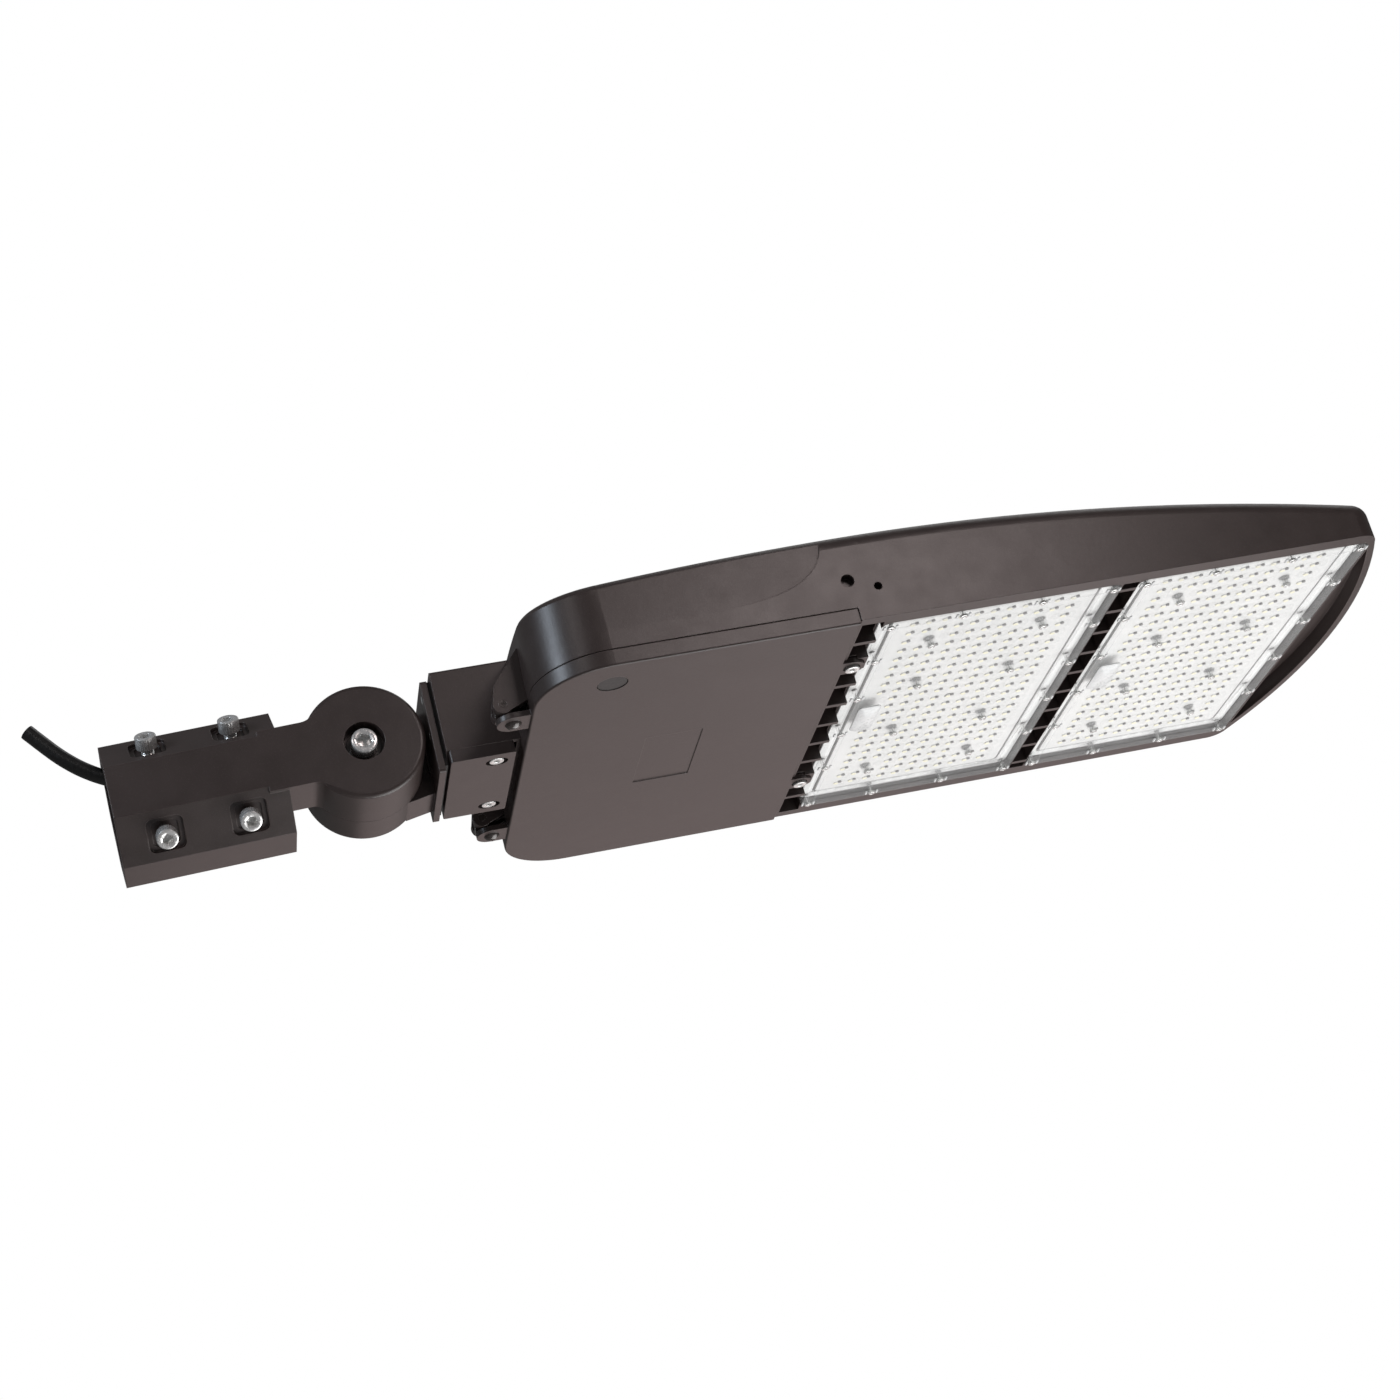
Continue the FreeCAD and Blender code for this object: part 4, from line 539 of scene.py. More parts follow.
FROSTED_LENS = MouldedLens(
    "frosted_lens", (0.76, 0.77, 0.77), (0.84, 0.85, 0.85), roughness=0.3, specular=0.6, alpha=0.8,
    cloud_scale=90.0, grain_scale=1500.0, grain_depth=0.00002)
DOME_LENS = MouldedLens(
    "clear_dome", (0.80, 0.81, 0.81), (0.88, 0.88, 0.88), roughness=0.1, roughness_swing=0.02,
    specular=0.6, alpha=0.05, cloud_scale=120.0, grain_scale=2500.0, grain_depth=0.000004)
LED_CASE = Finish(
    "led_package_white", (0.84, 0.84, 0.81), (0.93, 0.93, 0.90), roughness=0.35, cloud_scale=300.0,
    grain_scale=3000.0, grain_depth=0.00001)
PHOSPHOR = Finish(
    "cream_phosphor", (0.95, 0.90, 0.60), (1.0, 0.96, 0.74), roughness=0.45, cloud_scale=400.0,
    grain_scale=4000.0, grain_depth=0.00002)
# Painted shade: a dark spot beside each LED that stands for the dark side of the light bent by its dome.
LED_PAINTED_SHADE = Finish(
    "led_shade", (0.020, 0.019, 0.017), (0.045, 0.042, 0.038), roughness=0.4, cloud_scale=400.0,
    grain_scale=4000.0, grain_depth=0.00001)
COPPER = Finish(
    "bare_copper", (0.62, 0.28, 0.14), (0.80, 0.42, 0.24), roughness=0.3, metallic=0.9,
    cloud_scale=400.0, grain_scale=5200.0, grain_depth=0.00005)
CORE_COLORS: dict[str, Color] = {
    "core_black": (0.02, 0.02, 0.02),
    "core_white": (0.75, 0.75, 0.72),
    "core_green": (0.03, 0.22, 0.07),
}


class Palette:
    """Builds each finish once and hands it out."""

    def __init__(self) -> None:
        """Start empty."""
        self._made: dict[str, bpy.types.Material] = {}

    def get(self, finish: Finish) -> bpy.types.Material:
        """The material of a finish.

        Args:
            finish: the finish.

        Returns:
            Its material, built at the first call.
        """
        if finish.name not in self._made:
            self._made[finish.name] = finish.build()
        return self._made[finish.name]


# ------------------------------------------------------------------------- meshes


def circle(radius: float, height: float, count: int, wave: Callable[[float], float] | None = None) -> Ring:
    """Points of one ring about Z.

    Args:
        radius: the ring's radius.
        height: its height.
        count: how many points.
        wave: adds to the radius at an angle.

    Returns:
        The points.
    """
    points = []
    for k in range(count):
        angle = math.tau * k / count
        reach = radius + (wave(angle) if wave else 0.0)
        points.append(Vector((reach * math.cos(angle), reach * math.sin(angle), height)))
    return points


def hexagon(flats: float, height: float, count: int) -> Ring:
    """A ring of points on a hexagon's outline.

    Args:
        flats: distance across the flats.
        height: the ring's height.
        count: how many points, a multiple of 6.

    Returns:
        The points.
    """
    points = []
    for k in range(count):
        angle = math.tau * k / count
        off = (angle + math.pi / 6) % (math.pi / 3) - math.pi / 6
        reach = flats / 2 / math.cos(off)
        points.append(Vector((reach * math.cos(angle), reach * math.sin(angle), height)))
    return points


def closed_loft(name: str, rings: Sequence[Ring]) -> bpy.types.Mesh:
    """A closed mesh through rings, with a fan at each end.

    Args:
        name: the mesh's name.
        rings: rings with the same number of points, from the bottom outside to the top.

    Returns:
        The mesh, with outward normals.
    """
    count = len(rings[0])
    points = [p for ring in rings for p in ring]
    faces: list[tuple[int, ...]] = []
    for r in range(len(rings) - 1):
        for k in range(count):
            n = (k + 1) % count
            faces.append((r * count + k, r * count + n, (r + 1) * count + n, (r + 1) * count + k))
    for r, flip in ((0, True), (len(rings) - 1, False)):
        points.append(sum(rings[r], Vector()) / count)
        middle = len(points) - 1
        for k in range(count):
            a, b = r * count + k, r * count + (k + 1) % count
            faces.append((b, a, middle) if flip else (a, b, middle))
    mesh = bpy.data.meshes.new(name)
    mesh.from_pydata([tuple(p) for p in points], [], faces)
    mesh.validate()
    return mesh


def shade_by_angle(mesh: bpy.types.Mesh, degrees: float = 35.0) -> None:
    """Smooth shading with crisp edges where faces turn sharply.

    Args:
        mesh: the mesh.
        degrees: the sharpest turn that stays smooth.
    """
    mesh.shade_smooth()
    mesh.set_sharp_from_angle(angle=math.radians(degrees))


def join_meshes(name: str, meshes: Sequence[tuple[bpy.types.Mesh, Matrix]]) -> bpy.types.Mesh:
    """One mesh from several placed ones.

    Args:
        name: the new mesh's name.
        meshes: each mesh and its place.

    Returns:
        The joined mesh.
    """
    points: list[tuple[float, float, float]] = []
    faces: list[list[int]] = []
    for mesh, place in meshes:
        start = len(points)
        points.extend(tuple(place @ v.co) for v in mesh.vertices)
        faces.extend([start + i for i in face.vertices] for face in mesh.polygons)
    joined = bpy.data.meshes.new(name)
    joined.from_pydata(points, [], faces)
    shade_by_angle(joined)
    return joined


def place_along(origin: Vector, axis: Vector, turn: float = 0.0) -> Matrix:
    """A place whose own +Z lies along an axis.

    Args:
        origin: where the place's origin is.
        axis: the direction of its +Z.
        turn: angle about that axis, in radians.

    Returns:
        The place's matrix.
    """
    aim = axis.to_track_quat("Z", "Y").to_matrix().to_4x4()
    return Matrix.Translation(origin) @ aim @ Matrix.Rotation(turn, 4, "Z")


def add_object(name: str, mesh: bpy.types.Mesh, material: bpy.types.Material) -> bpy.types.Object:
    """Put a finished mesh in the scene.

    Args:
        name: the object's name.
        mesh: its mesh.
        material: its material.

    Returns:
        The object.
    """
    mesh.materials.clear()
    mesh.materials.append(material)
    made = bpy.data.objects.new(name, mesh)
    bpy.context.scene.collection.objects.link(made)
    return made


@dataclass(frozen=True)
class CapScrew:
    """A socket head cap screw whose seat is at 0 and whose head rises along +Z.

    The shoulder's rings lie inside the head's radius and top by so many chamfers. The socket's
    widths are shares of the key, and its heights shares of the head.
    """

    head_r: float
    head_h: float
    key: float
    shank_r: float
    length: float = 0.0
    knurls: int = 0
    knurl_depth: float = 0.22 * MM
    knurl_end: float = 1.6
    crease: float = 32.0
    pitch: float = 1.25 * MM
    chamfer: float = 0.6 * MM
    facets: int = 48
    steps_per_turn: int = 6
    shoulder: tuple[Span, ...] = ((0.0, 1.3), (0.4, 0.35), (1.0, 0.0))
    socket_mouth: float = 0.66
    socket_lip: float = 0.08
    socket_floor: float = 0.42
    drill_width: float = 0.45
    drill_floor: float = 0.34

    def rings(self) -> list[Ring]:
        """The screw's outline as rings.

        Returns:
            Rings from the shank's end, round the head, to the socket's floor.
        """
        count = self.facets
        rings = [circle(self.shank_r - self.pitch / 2, -self.length, count)]
        steps = int(self.length / self.pitch * self.steps_per_turn)
        for k in range(1, steps):
            height = -self.length + k * self.pitch / self.steps_per_turn
            rings.append(circle(self.shank_r, height, count, lambda a, z=height: self._thread(a, z)))
        rings.append(circle(self.shank_r, 0.0, count))
        rim, top = self.head_r, self.head_h
        rings.append(circle(rim - self.chamfer / 2, 0.0, count))
        wave = self._knurl if self.knurls else None
        rings.append(circle(rim, self.chamfer / 2, count, wave))
        rings.append(circle(rim, top - self.knurl_end * self.chamfer, count, wave))
        for inward, below in self.shoulder:
            rings.append(circle(rim - inward * self.chamfer, top - below * self.chamfer, count))
        rings.append(circle(self.key * self.socket_mouth, top, count))
        rings.append(hexagon(self.key, top - self.key * self.socket_lip, count))
        rings.append(hexagon(self.key, top * self.socket_floor, count))
        rings.append(hexagon(self.key * self.drill_width, top * self.drill_floor, count))
        return rings

    def _knurl(self, angle: float) -> float:
        """How far the knurling is cut at an angle, never above 0."""
        return -self.knurl_depth * (0.5 - 0.5 * math.cos(angle * self.knurls))

    def _thread(self, angle: float, height: float) -> float:
        """How far the thread is cut at a point.

        Args:
            angle: the point's angle.
            height: the point's height.

        Returns:
            The change of radius, never above 0.
        """
        phase = (height / self.pitch - angle / math.tau) % 1.0
        return -self.pitch / 2 * abs(2.0 * phase - 1.0)

    def mesh(self, name: str) -> bpy.types.Mesh:
        """The screw's mesh.

        Args:
            name: the mesh's name.

        Returns:
            The mesh.
        """
        made = closed_loft(name, self.rings())
        shade_by_angle(made, self.crease)
        return made


@dataclass(frozen=True)
class RoundedBar:
    """A bar with round corners whose far face is smaller, hanging from z = 0 down."""

    size: Point
    corner: float
    far_inset: float
    steps: int = 4
    straight_share: float = 0.4
    inset_share: float = 0.5
    least_corner: float = 0.3
    crease: float = 50.0

    def _outline(self, inset: float, height: float) -> Ring:
        """The bar's outline at a height.

        Args:
            inset: how far it lies inside the bar's sides.
            height: its height.

        Returns:
            The points.
        """
        half_x, half_y = self.size[0] / 2 - inset, self.size[1] / 2 - inset
        radius = max(self.corner - inset * self.inset_share, self.corner * self.least_corner)
        ring = []
        for quarter, (sx, sy) in enumerate(((1, 1), (-1, 1), (-1, -1), (1, -1))):
            for step in range(self.steps + 1):
                angle = math.pi / 2 * (quarter + step / self.steps)
                ring.append(Vector((sx * (half_x - radius) + radius * math.cos(angle),
                                    sy * (half_y - radius) + radius * math.sin(angle), height)))
        return ring

    def mesh(self, name: str) -> bpy.types.Mesh:
        """The bar's mesh.

        Args:
            name: the mesh's name.

        Returns:
            The mesh.
        """
        low = -self.size[2]
        rings = [self._outline(self.far_inset, low), self._outline(0.0, low * self.straight_share),
                 self._outline(0.0, 0.0)]
        made = closed_loft(name, rings)
        shade_by_angle(made, self.crease)
        return made


# ------------------------------------------------------------- setting out repeats


class Setter:
    """Sets one small shape out on many points with a node tree, then keeps the plain mesh."""

    FLOAT_LARGEST = 3
    FLOAT_VALUE = 1
    INPUTS: dict[str, str] = {
        "Points": "NodeSocketGeometry", "Shape": "NodeSocketObject", "Size": "NodeSocketFloat",
        "Turn spread": "NodeSocketFloat", "Seed": "NodeSocketInt", "Finish": "NodeSocketMaterial"}
    NODES: dict[str, str] = {
        "given": "NodeGroupInput", "result": "NodeGroupOutput", "info": "GeometryNodeObjectInfo",
        "turn": "FunctionNodeRandomValue", "angles": "ShaderNodeCombineXYZ",
        "sizes": "ShaderNodeCombineXYZ", "copies": "GeometryNodeInstanceOnPoints",
        "real": "GeometryNodeRealizeInstances", "paint": "GeometryNodeSetMaterial"}
    LINKS: tuple[tuple[str, str | int, str, str | int], ...] = (
        ("given", "Shape", "info", "Object"),
        ("given", "Turn spread", "turn", FLOAT_LARGEST),
        ("given", "Seed", "turn", "Seed"),
        ("turn", FLOAT_VALUE, "angles", "Z"),
        ("given", "Size", "sizes", "X"),
        ("given", "Size", "sizes", "Y"),
        ("given", "Size", "sizes", "Z"),
        ("given", "Points", "copies", "Points"),
        ("info", "Geometry", "copies", "Instance"),
        ("angles", "Vector", "copies", "Rotation"),
        ("sizes", "Vector", "copies", "Scale"),
        ("copies", "Instances", "real", "Geometry"),
        ("real", "Geometry", "paint", "Geometry"),
        ("given", "Finish", "paint", "Material"),
        ("paint", "Geometry", "result", "Pieces"))

    def __init__(self) -> None:
        """Write the node tree."""
        self.tree = bpy.data.node_groups.new("set_out_on_points", "GeometryNodeTree")
        face = self.tree.interface
        self.sockets = {name: face.new_socket(name, in_out="INPUT", socket_type=kind).identifier
                        for name, kind in self.INPUTS.items()}
        face.new_socket("Pieces", in_out="OUTPUT", socket_type="NodeSocketGeometry")
        nodes = {name: self.tree.nodes.new(kind) for name, kind in self.NODES.items()}
        nodes["info"].transform_space = "ORIGINAL"
        nodes["turn"].data_type = "FLOAT"
        for source, output, target, entry in self.LINKS:
            self.tree.links.new(nodes[source].outputs[output], nodes[target].inputs[entry])

    def set_out(self, name: str, shape: bpy.types.Mesh, points: Sequence[Vector],
                material: bpy.types.Material, turn_spread: float = 0.0, seed: int = 1) -> bpy.types.Object:
        """Copies of a shape on points, as one plain mesh.

        Args:
            name: the finished piece's name.
            shape: the small shape, already in its working direction.
            points: where the copies go.
            material: their material.
            turn_spread: the largest random turn about Z.
            seed: the random turn's seed.

        Returns:
            The finished piece.
        """
        scene = bpy.context.scene.collection.objects
        pattern = bpy.data.objects.new(name + "_pattern", shape)
        host_mesh = bpy.data.meshes.new(name + "_points")
        host_mesh.from_pydata([tuple(p) for p in points], [], [])
        host = bpy.data.objects.new(name + "_host", host_mesh)
        scene.link(pattern)
        scene.link(host)
        modifier = host.modifiers.new("set_out", "NODES")
        modifier.node_group = self.tree
        values = {"Shape": pattern, "Size": 1.0, "Turn spread": turn_spread, "Seed": seed,
                  "Finish": material}
        for socket, value in values.items():
            modifier[self.sockets[socket]] = value
        graph = bpy.context.evaluated_depsgraph_get()
        graph.update()
        mesh = bpy.data.meshes.new_from_object(host.evaluated_get(graph))
        mesh.name = name
        host.modifiers.remove(modifier)
        bpy.data.objects.remove(host)
        bpy.data.objects.remove(pattern)
        return add_object(name, mesh, material)


# ---------------------------------------------------------------- sub-assemblies


def screw_piece(palette: Palette, name: str, mesh: bpy.types.Mesh, node: str,
                body: str) -> bpy.types.Object:
    """A detailed steel screw that stands for one CAD node.

    Args:
        palette: the finishes.
        name: the piece's name.
        mesh: its mesh.
        node: the node that it stands for.
        body: the body that it rides on.

    Returns:
        The piece.
    """
    made = add_object(name, mesh, palette.get(FINISHES[Slot.STAINLESS]))
    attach(made, body)
    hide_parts(node)
    return made


@dataclass
class CadDress:
    """Gives every CAD node the finish of its material slot."""

    palette: Palette

    def build(self) -> int:
        """Dress the nodes.

        Returns:
            How many nodes were dressed.
        """
        slots = {part["node"]: part["material_slot"] for part in frame["record"]["subparts"]}
        for node, made in frame["nodes"].items():
            material = self.palette.get(FINISHES[Slot(slots[node])])
            if not made.material_slots:
                made.data.materials.append(material)
            for slot in made.material_slots:
                slot.material = material
        return len(frame["nodes"])


@dataclass
class SlipFitter:
    """The octagonal slip fitter's screws and the knuckle's bolt, whose length comes from the CAD."""

    palette: Palette
    tilt: float = math.radians(2.07)
    screw_x: Span = (28.0 * MM, 78.0 * MM)
    seat_r: float = 40.4 * MM
    screw: CapScrew = CapScrew(6.5 * MM, 8.0 * MM, 6.0 * MM, 4.0 * MM, 8.9 * MM, knurls=30, facets=144)
    screw_turn: float = 0.35
    bolt: CapScrew = CapScrew(8.0 * MM, 10.0 * MM, 8.0 * MM, 5.0 * MM, knurls=36, facets=144,
                              pitch=1.5 * MM, chamfer=0.8 * MM)
    bolt_turn: float = 0.2

    def on_fitter(self, point: Vector) -> Vector:
        """A point or direction given along the fitter's own axis, in the part's frame."""
        return Matrix.Rotation(-self.tilt, 3, "Y") @ point

    def build(self) -> list[bpy.types.Object]:
        """Build the screws and the bolt.

        Returns:
            The finished pieces.
        """
        pieces = []
        places = [(x, side) for side in (1, -1) for x in self.screw_x]
        for number, (x, side) in enumerate(places, 1):
            outward = Vector((0.0, -1.0, side)).normalized()
            seat = self.on_fitter(Vector((x, 0.0, 0.0)) + outward * self.seat_r)
            place = place_along(seat, self.on_fitter(outward), self.screw_turn * number)
            node = f"set_screw_{number}"
            mesh = join_meshes(node + "_detailed", [(self.screw.mesh("set_screw"), place)])
            pieces.append(screw_piece(self.palette, node + "_detailed", mesh, node, node))
        low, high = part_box("pivot_bolt")
        seat = Vector(((low.x + high.x) / 2, low.y + self.bolt.head_h, (low.z + high.z) / 2))
        bolt = replace(self.bolt, length=high.y - seat.y)
        place = place_along(seat, Vector((0.0, -1.0, 0.0)), self.bolt_turn)
        name = "pivot_bolt_detailed"
        mesh = join_meshes(name, [(bolt.mesh("bolt"), place)])
        pieces.append(screw_piece(self.palette, name, mesh, "pivot_bolt", Body.FITTER.value))
        return pieces


@dataclass
class SupplyCord:
    """The short supply cord, with the cores that show at its cut end."""

    palette: Palette
    diameter: float = 9.6 * MM
    length: float = 0.1643
    route: tuple[Point, ...] = (
        (0.1055, 0.0, 0.0039), (0.0900, -0.0003, 0.0036), (0.0660, -0.0018, 0.0060),
        (0.0420, -0.0036, 0.0113), (0.0200, -0.0054, 0.0170), (0.0020, -0.0060, 0.0228),
        (-0.0120, -0.0065, 0.0312), (-0.0235, -0.0070, 0.0412), (-0.0330, -0.0075, 0.0520),
        (-0.0410, -0.0080, 0.0615))
    order: int = 3
    steps_along: int = 12
    steps_round: int = 8
    core_ring_r: float = 2.1 * MM
    core_r: float = 1.5 * MM
    core_span: Span = (-1.0 * MM, 0.2 * MM)
    core_end: Span = (0.9, 0.3 * MM)
    core_facets: int = 20
    core_fade: float = 1.3
    wire_r: float = 0.75 * MM
    wire_span: Span = (-0.5 * MM, 0.45 * MM)
    wire_facets: int = 16
    strands: int = 6
    strand_depth: float = 0.08 * MM

    def build(self) -> list[bpy.types.Object]:
        """Build the cord and its cores.

        Returns:
            The finished pieces.
        """
        curve = bpy.data.curves.new("supply_cord_line", "CURVE")
        curve.dimensions = "3D"
        line = curve.splines.new("NURBS")
        line.points.add(len(self.route) - 1)
        for point, place in zip(line.points, self.route):
            point.co = (*place, 1.0)
        line.order_u = self.order
        line.use_endpoint_u = True
        line.resolution_u = self.steps_along
        curve.bevel_depth = self.diameter / 2
        curve.bevel_resolution = self.steps_round
        curve.use_fill_caps = True
        curve.materials.append(self.palette.get(FINISHES[Slot.CABLE]))
        cord = bpy.data.objects.new("supply_cord_jacket", curve)
        bpy.context.scene.collection.objects.link(cord)
        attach(cord, Body.FITTER.value)
        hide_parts("supply_cord")
        cores = self._cores()
        return [cord, *cores]

    def _strands(self, angle: float) -> float:
        """How far the wire's surface stands out over its strands at an angle."""
        return self.strand_depth * math.cos(self.strands * angle)

    def _cores(self) -> list[bpy.types.Object]:
        """The insulated wires at the cut end.

        Returns:
            One piece for each wire's insulation and one for the copper.
        """
        tip = Vector(self.route[-1])
        place = place_along(tip, (tip - Vector(self.route[-2])).normalized())
        end_share, end_height = self.core_end
        made = []
        copper: list[tuple[bpy.types.Mesh, Matrix]] = []
        for number, (name, color) in enumerate(CORE_COLORS.items()):
            angle = math.tau * number / len(CORE_COLORS)
            across = Vector((math.cos(angle), math.sin(angle), 0.0)) * self.core_ring_r
            offset = place @ Matrix.Translation(across)
            rings = [circle(self.core_r, z, self.core_facets) for z in self.core_span]
            rings.append(circle(self.core_r * end_share, end_height, self.core_facets))
            mesh = join_meshes(name, [(closed_loft(name, rings), offset)])
            light = tuple(min(1.0, c * self.core_fade) for c in color)
            finish = Finish(name, color, light, roughness=0.4, cloud_scale=400.0, grain_scale=3000.0,
                            grain_depth=0.01 * MM)
            made.append(add_object("cord_" + name, mesh, self.palette.get(finish)))
            wires = [circle(self.wire_r, z, self.wire_facets, self._strands) for z in self.wire_span]
            copper.append((closed_loft("wire", wires), offset))
        made.append(add_object("cord_copper", join_meshes("cord_copper", copper), self.palette.get(COPPER)))
        for piece in made:
            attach(piece, Body.FITTER.value)
        return made


@dataclass
class HeadScrews:
    """Socket screws of the neck's cover and of the bay door. Their length comes from the CAD."""

    palette: Palette
    screw: CapScrew = CapScrew(4.6 * MM, 3.0 * MM, 3.0 * MM, 2.5 * MM, knurls=24, knurl_depth=0.14 * MM,
                               facets=96, pitch=0.8 * MM, chamfer=0.4 * MM)
    lone_within: float = 3.0
    first_turn: float = 0.4
    turn_per_metre: float = 31.0

    def build(self) -> list[bpy.types.Object]:
        """Build the screws.

        Returns:
            The finished pieces.
        """
        bodies = {"neck_cover_screws": Body.HEAD, "door_screw_1": Body.DOOR_SCREW_1,
                  "door_screw_2": Body.DOOR_SCREW_2}
        return [self._build(node, body) for node, body in bodies.items()]

    def _build(self, node: str, body: Body) -> bpy.types.Object:
        """The screws of one CAD node, at the two ends of its width or at its middle.

        Args:
            node: the CAD node.
            body: the body that it belongs to.

        Returns:
            The finished piece.
        """
        low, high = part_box(node)
        head_r = self.screw.head_r
        lone = high.y - low.y < self.lone_within * head_r
        across = [(low.y + high.y) / 2] if lone else [low.y + head_r, high.y - head_r]
        seat_z = low.z + self.screw.head_h
        screw = replace(self.screw, length=high.z - seat_z)
        places = []
        for y in across:
            seat = Vector(((low.x + high.x) / 2, y, seat_z))
            turn = self.first_turn + self.turn_per_metre * y
            places.append((screw.mesh(node), place_along(seat, DOWN, turn)))
        return screw_piece(self.palette, node + "_detailed", join_meshes(node, places), node, body.value)


@dataclass(frozen=True)
class Patch:
    """A low round patch under an LED's case: its radius, place off centre and depth below the board."""

    radius: float
    x: float
    y: float
    depth: float
    top: float = 0.2 * MM
    facets: int = 10

    def mesh(self) -> bpy.types.Mesh:
        """The patch's mesh, round its LED's centre."""
        rings = [circle(self.radius, -depth, self.facets) for depth in (self.depth, self.top)]
        place = Matrix.Translation((self.x, self.y, 0.0))
        return join_meshes("patch", [(closed_loft("patch", rings), place)])


@dataclass
class LightEngine:
    """One LED module: packages on the board, domes, bosses and screws on the lens.

    The LEDs stand on a lattice, apart from the places in no_led, which screws and the wire entry
    take. A column counts along X from the rear, and a row along Y from the near side.
    """

    palette: Palette
    setter: Setter
    number: int
    columns: int = 11
    rows: int = 21
    pitch: Span = (10.35 * MM, 12.5 * MM)
    no_led: frozenset[tuple[int, int]] = frozenset({
        *((column, row) for row in (2, 18) for column in (1, 2, 8, 9)),
        *((column, row) for row in (7, 13) for column in (2, 8)),
        *((0, row) for row in (9, 10, 11))})
    frame_inset: float = 4.6 * MM
    frame_step: float = 1.0 * MM
    screw_pitch: float = 56.0 * MM
    screw_shift: float = -8.0 * MM
    screw_steps: tuple[float, ...] = (-1.5, -0.5, 0.5, 1.5)
    side_screw_part: int = 3
    inner_screws: tuple[tuple[float, int], ...] = ((-3.5, 8), (3.5, 8), (-3.0, 3), (3.0, 3))
    screw: CapScrew = CapScrew(2.4 * MM, 1.4 * MM, 1.8 * MM, 0.7 * MM, 5.0 * MM, facets=24,
                               steps_per_turn=0, chamfer=0.35 * MM)
    screw_spread: float = 1.0
    screw_seed: int = 11
    package: RoundedBar = RoundedBar((3.4 * MM, 3.4 * MM, 0.7 * MM), 0.4 * MM, 0.15 * MM, steps=1)
    phosphor: Patch = Patch(1.7 * MM, -0.5 * MM, 0.4 * MM, 0.72 * MM)
    # painted shade: a dark disc beside each LED standing for the dark side of its dome's refraction
    shade: Patch = Patch(1.25 * MM, 1.9 * MM, -1.6 * MM, 0.9 * MM)
    dome_r: float = 3.6 * MM
    dome_h: float = 1.7 * MM
    dome_stretch: Point = (0.85, 1.15, 1.0)
    dome_angles: Point = (0.5, 1.1, math.pi / 2)
    dome_root: float = 0.2 * MM
    dome_facets: int = 10
    clip: RoundedBar = RoundedBar((1.6 * MM, 5.0 * MM, 0.8 * MM), 0.6 * MM, 0.25 * MM)
    clip_x: float = 3.9 * MM
    clip_root: float = 0.2 * MM
    boss_r: float = 3.1 * MM
    boss_hole_r: float = 2.8 * MM
    boss_drop: float = 0.6 * MM
    boss_sink: float = 0.1 * MM
    boss_lip: float = 0.2 * MM
    boss_shoulder: float = 0.6
    boss_facets: int = 24
    entry: RoundedBar = RoundedBar((15.0 * MM, 36.0 * MM, 2.4 * MM), 3.0 * MM, 2.0 * MM)
    entry_x: float = 17.5 * MM

    def build(self) -> list[bpy.types.Object]:
        """Build the module's pieces.

        Returns:
            The finished pieces.
        """
        low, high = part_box(f"lens_{self.number}")
        board_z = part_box(f"led_board_{self.number}")[0].z
        middle = Vector(((low.x + high.x) / 2, (low.y + high.y) / 2, 0.0))
        half = Vector(((high.x - low.x) / 2, (high.y - low.y) / 2, 0.0))
        frame_z, window_z = low.z, low.z + self.frame_step
        sites = self._sites(middle)
        at_board, at_window = self._lifted(sites, board_z), self._lifted(sites, window_z)
        frame_screws = self._frame_screws(middle, half)
        inner = self._lifted([middle + Vector((c * self.pitch[0], side * r * self.pitch[1], 0.0))
                              for c, r in self.inner_screws for side in (-1, 1)], window_z)
        on_frame = self._lifted(frame_screws, frame_z)
        entry = Vector((low.x + self.entry_x, middle.y, window_z))
        return [
            self._set("led_packages", self.package.mesh("led_package"), at_board, LED_CASE),
            self._set("led_phosphor", self.phosphor.mesh(), at_board, PHOSPHOR),
            # painted shade beside each LED, for the dark side of the light bent by its dome
            self._set("led_shades", self.shade.mesh(), at_board, LED_PAINTED_SHADE),
            self._set("lens_domes", self._dome(), at_window, DOME_LENS),
            self._screws(on_frame + inner),
            self._set("lens_clips", self._clip_pair(), on_frame, FROSTED_LENS),
            self._set("lens_bosses", self._boss(board_z - window_z), inner, DOME_LENS),
            self._set("wire_entry", self.entry.mesh("wire_entry"), [entry], FROSTED_LENS),
        ]

    def _sites(self, middle: Vector) -> list[Vector]:
        """Where the LEDs stand, at height 0.

        Args:
            middle: the lattice's middle.

        Returns:
            The places, column by column.
        """
        sites = []
        for column in range(self.columns):
            for row in range(self.rows):
                if (column, row) in self.no_led:
                    continue
                x = (column - (self.columns - 1) / 2) * self.pitch[0]
                y = (row - (self.rows - 1) / 2) * self.pitch[1]
                sites.append(middle + Vector((x, y, 0.0)))
        return sites

    def _lifted(self, points: Sequence[Vector], height: float) -> list[Vector]:
        """The points, raised by a height."""
        return [point + Vector((0.0, 0.0, height)) for point in points]

    def _set(self, name: str, shape: bpy.types.Mesh, points: Sequence[Vector], finish: Finish) -> bpy.types.Object:
        """Set a shape out and let it ride on the lamp's head.

        Args:
            name: the piece's name, without the module's number.
            shape: the small shape.
            points: where it goes.
            finish: its finish.

        Returns:
            The finished piece.
        """
        made = self.setter.set_out(f"{name}_{self.number}", shape, points, self.palette.get(finish))
        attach(made, Body.HEAD.value)
        return made

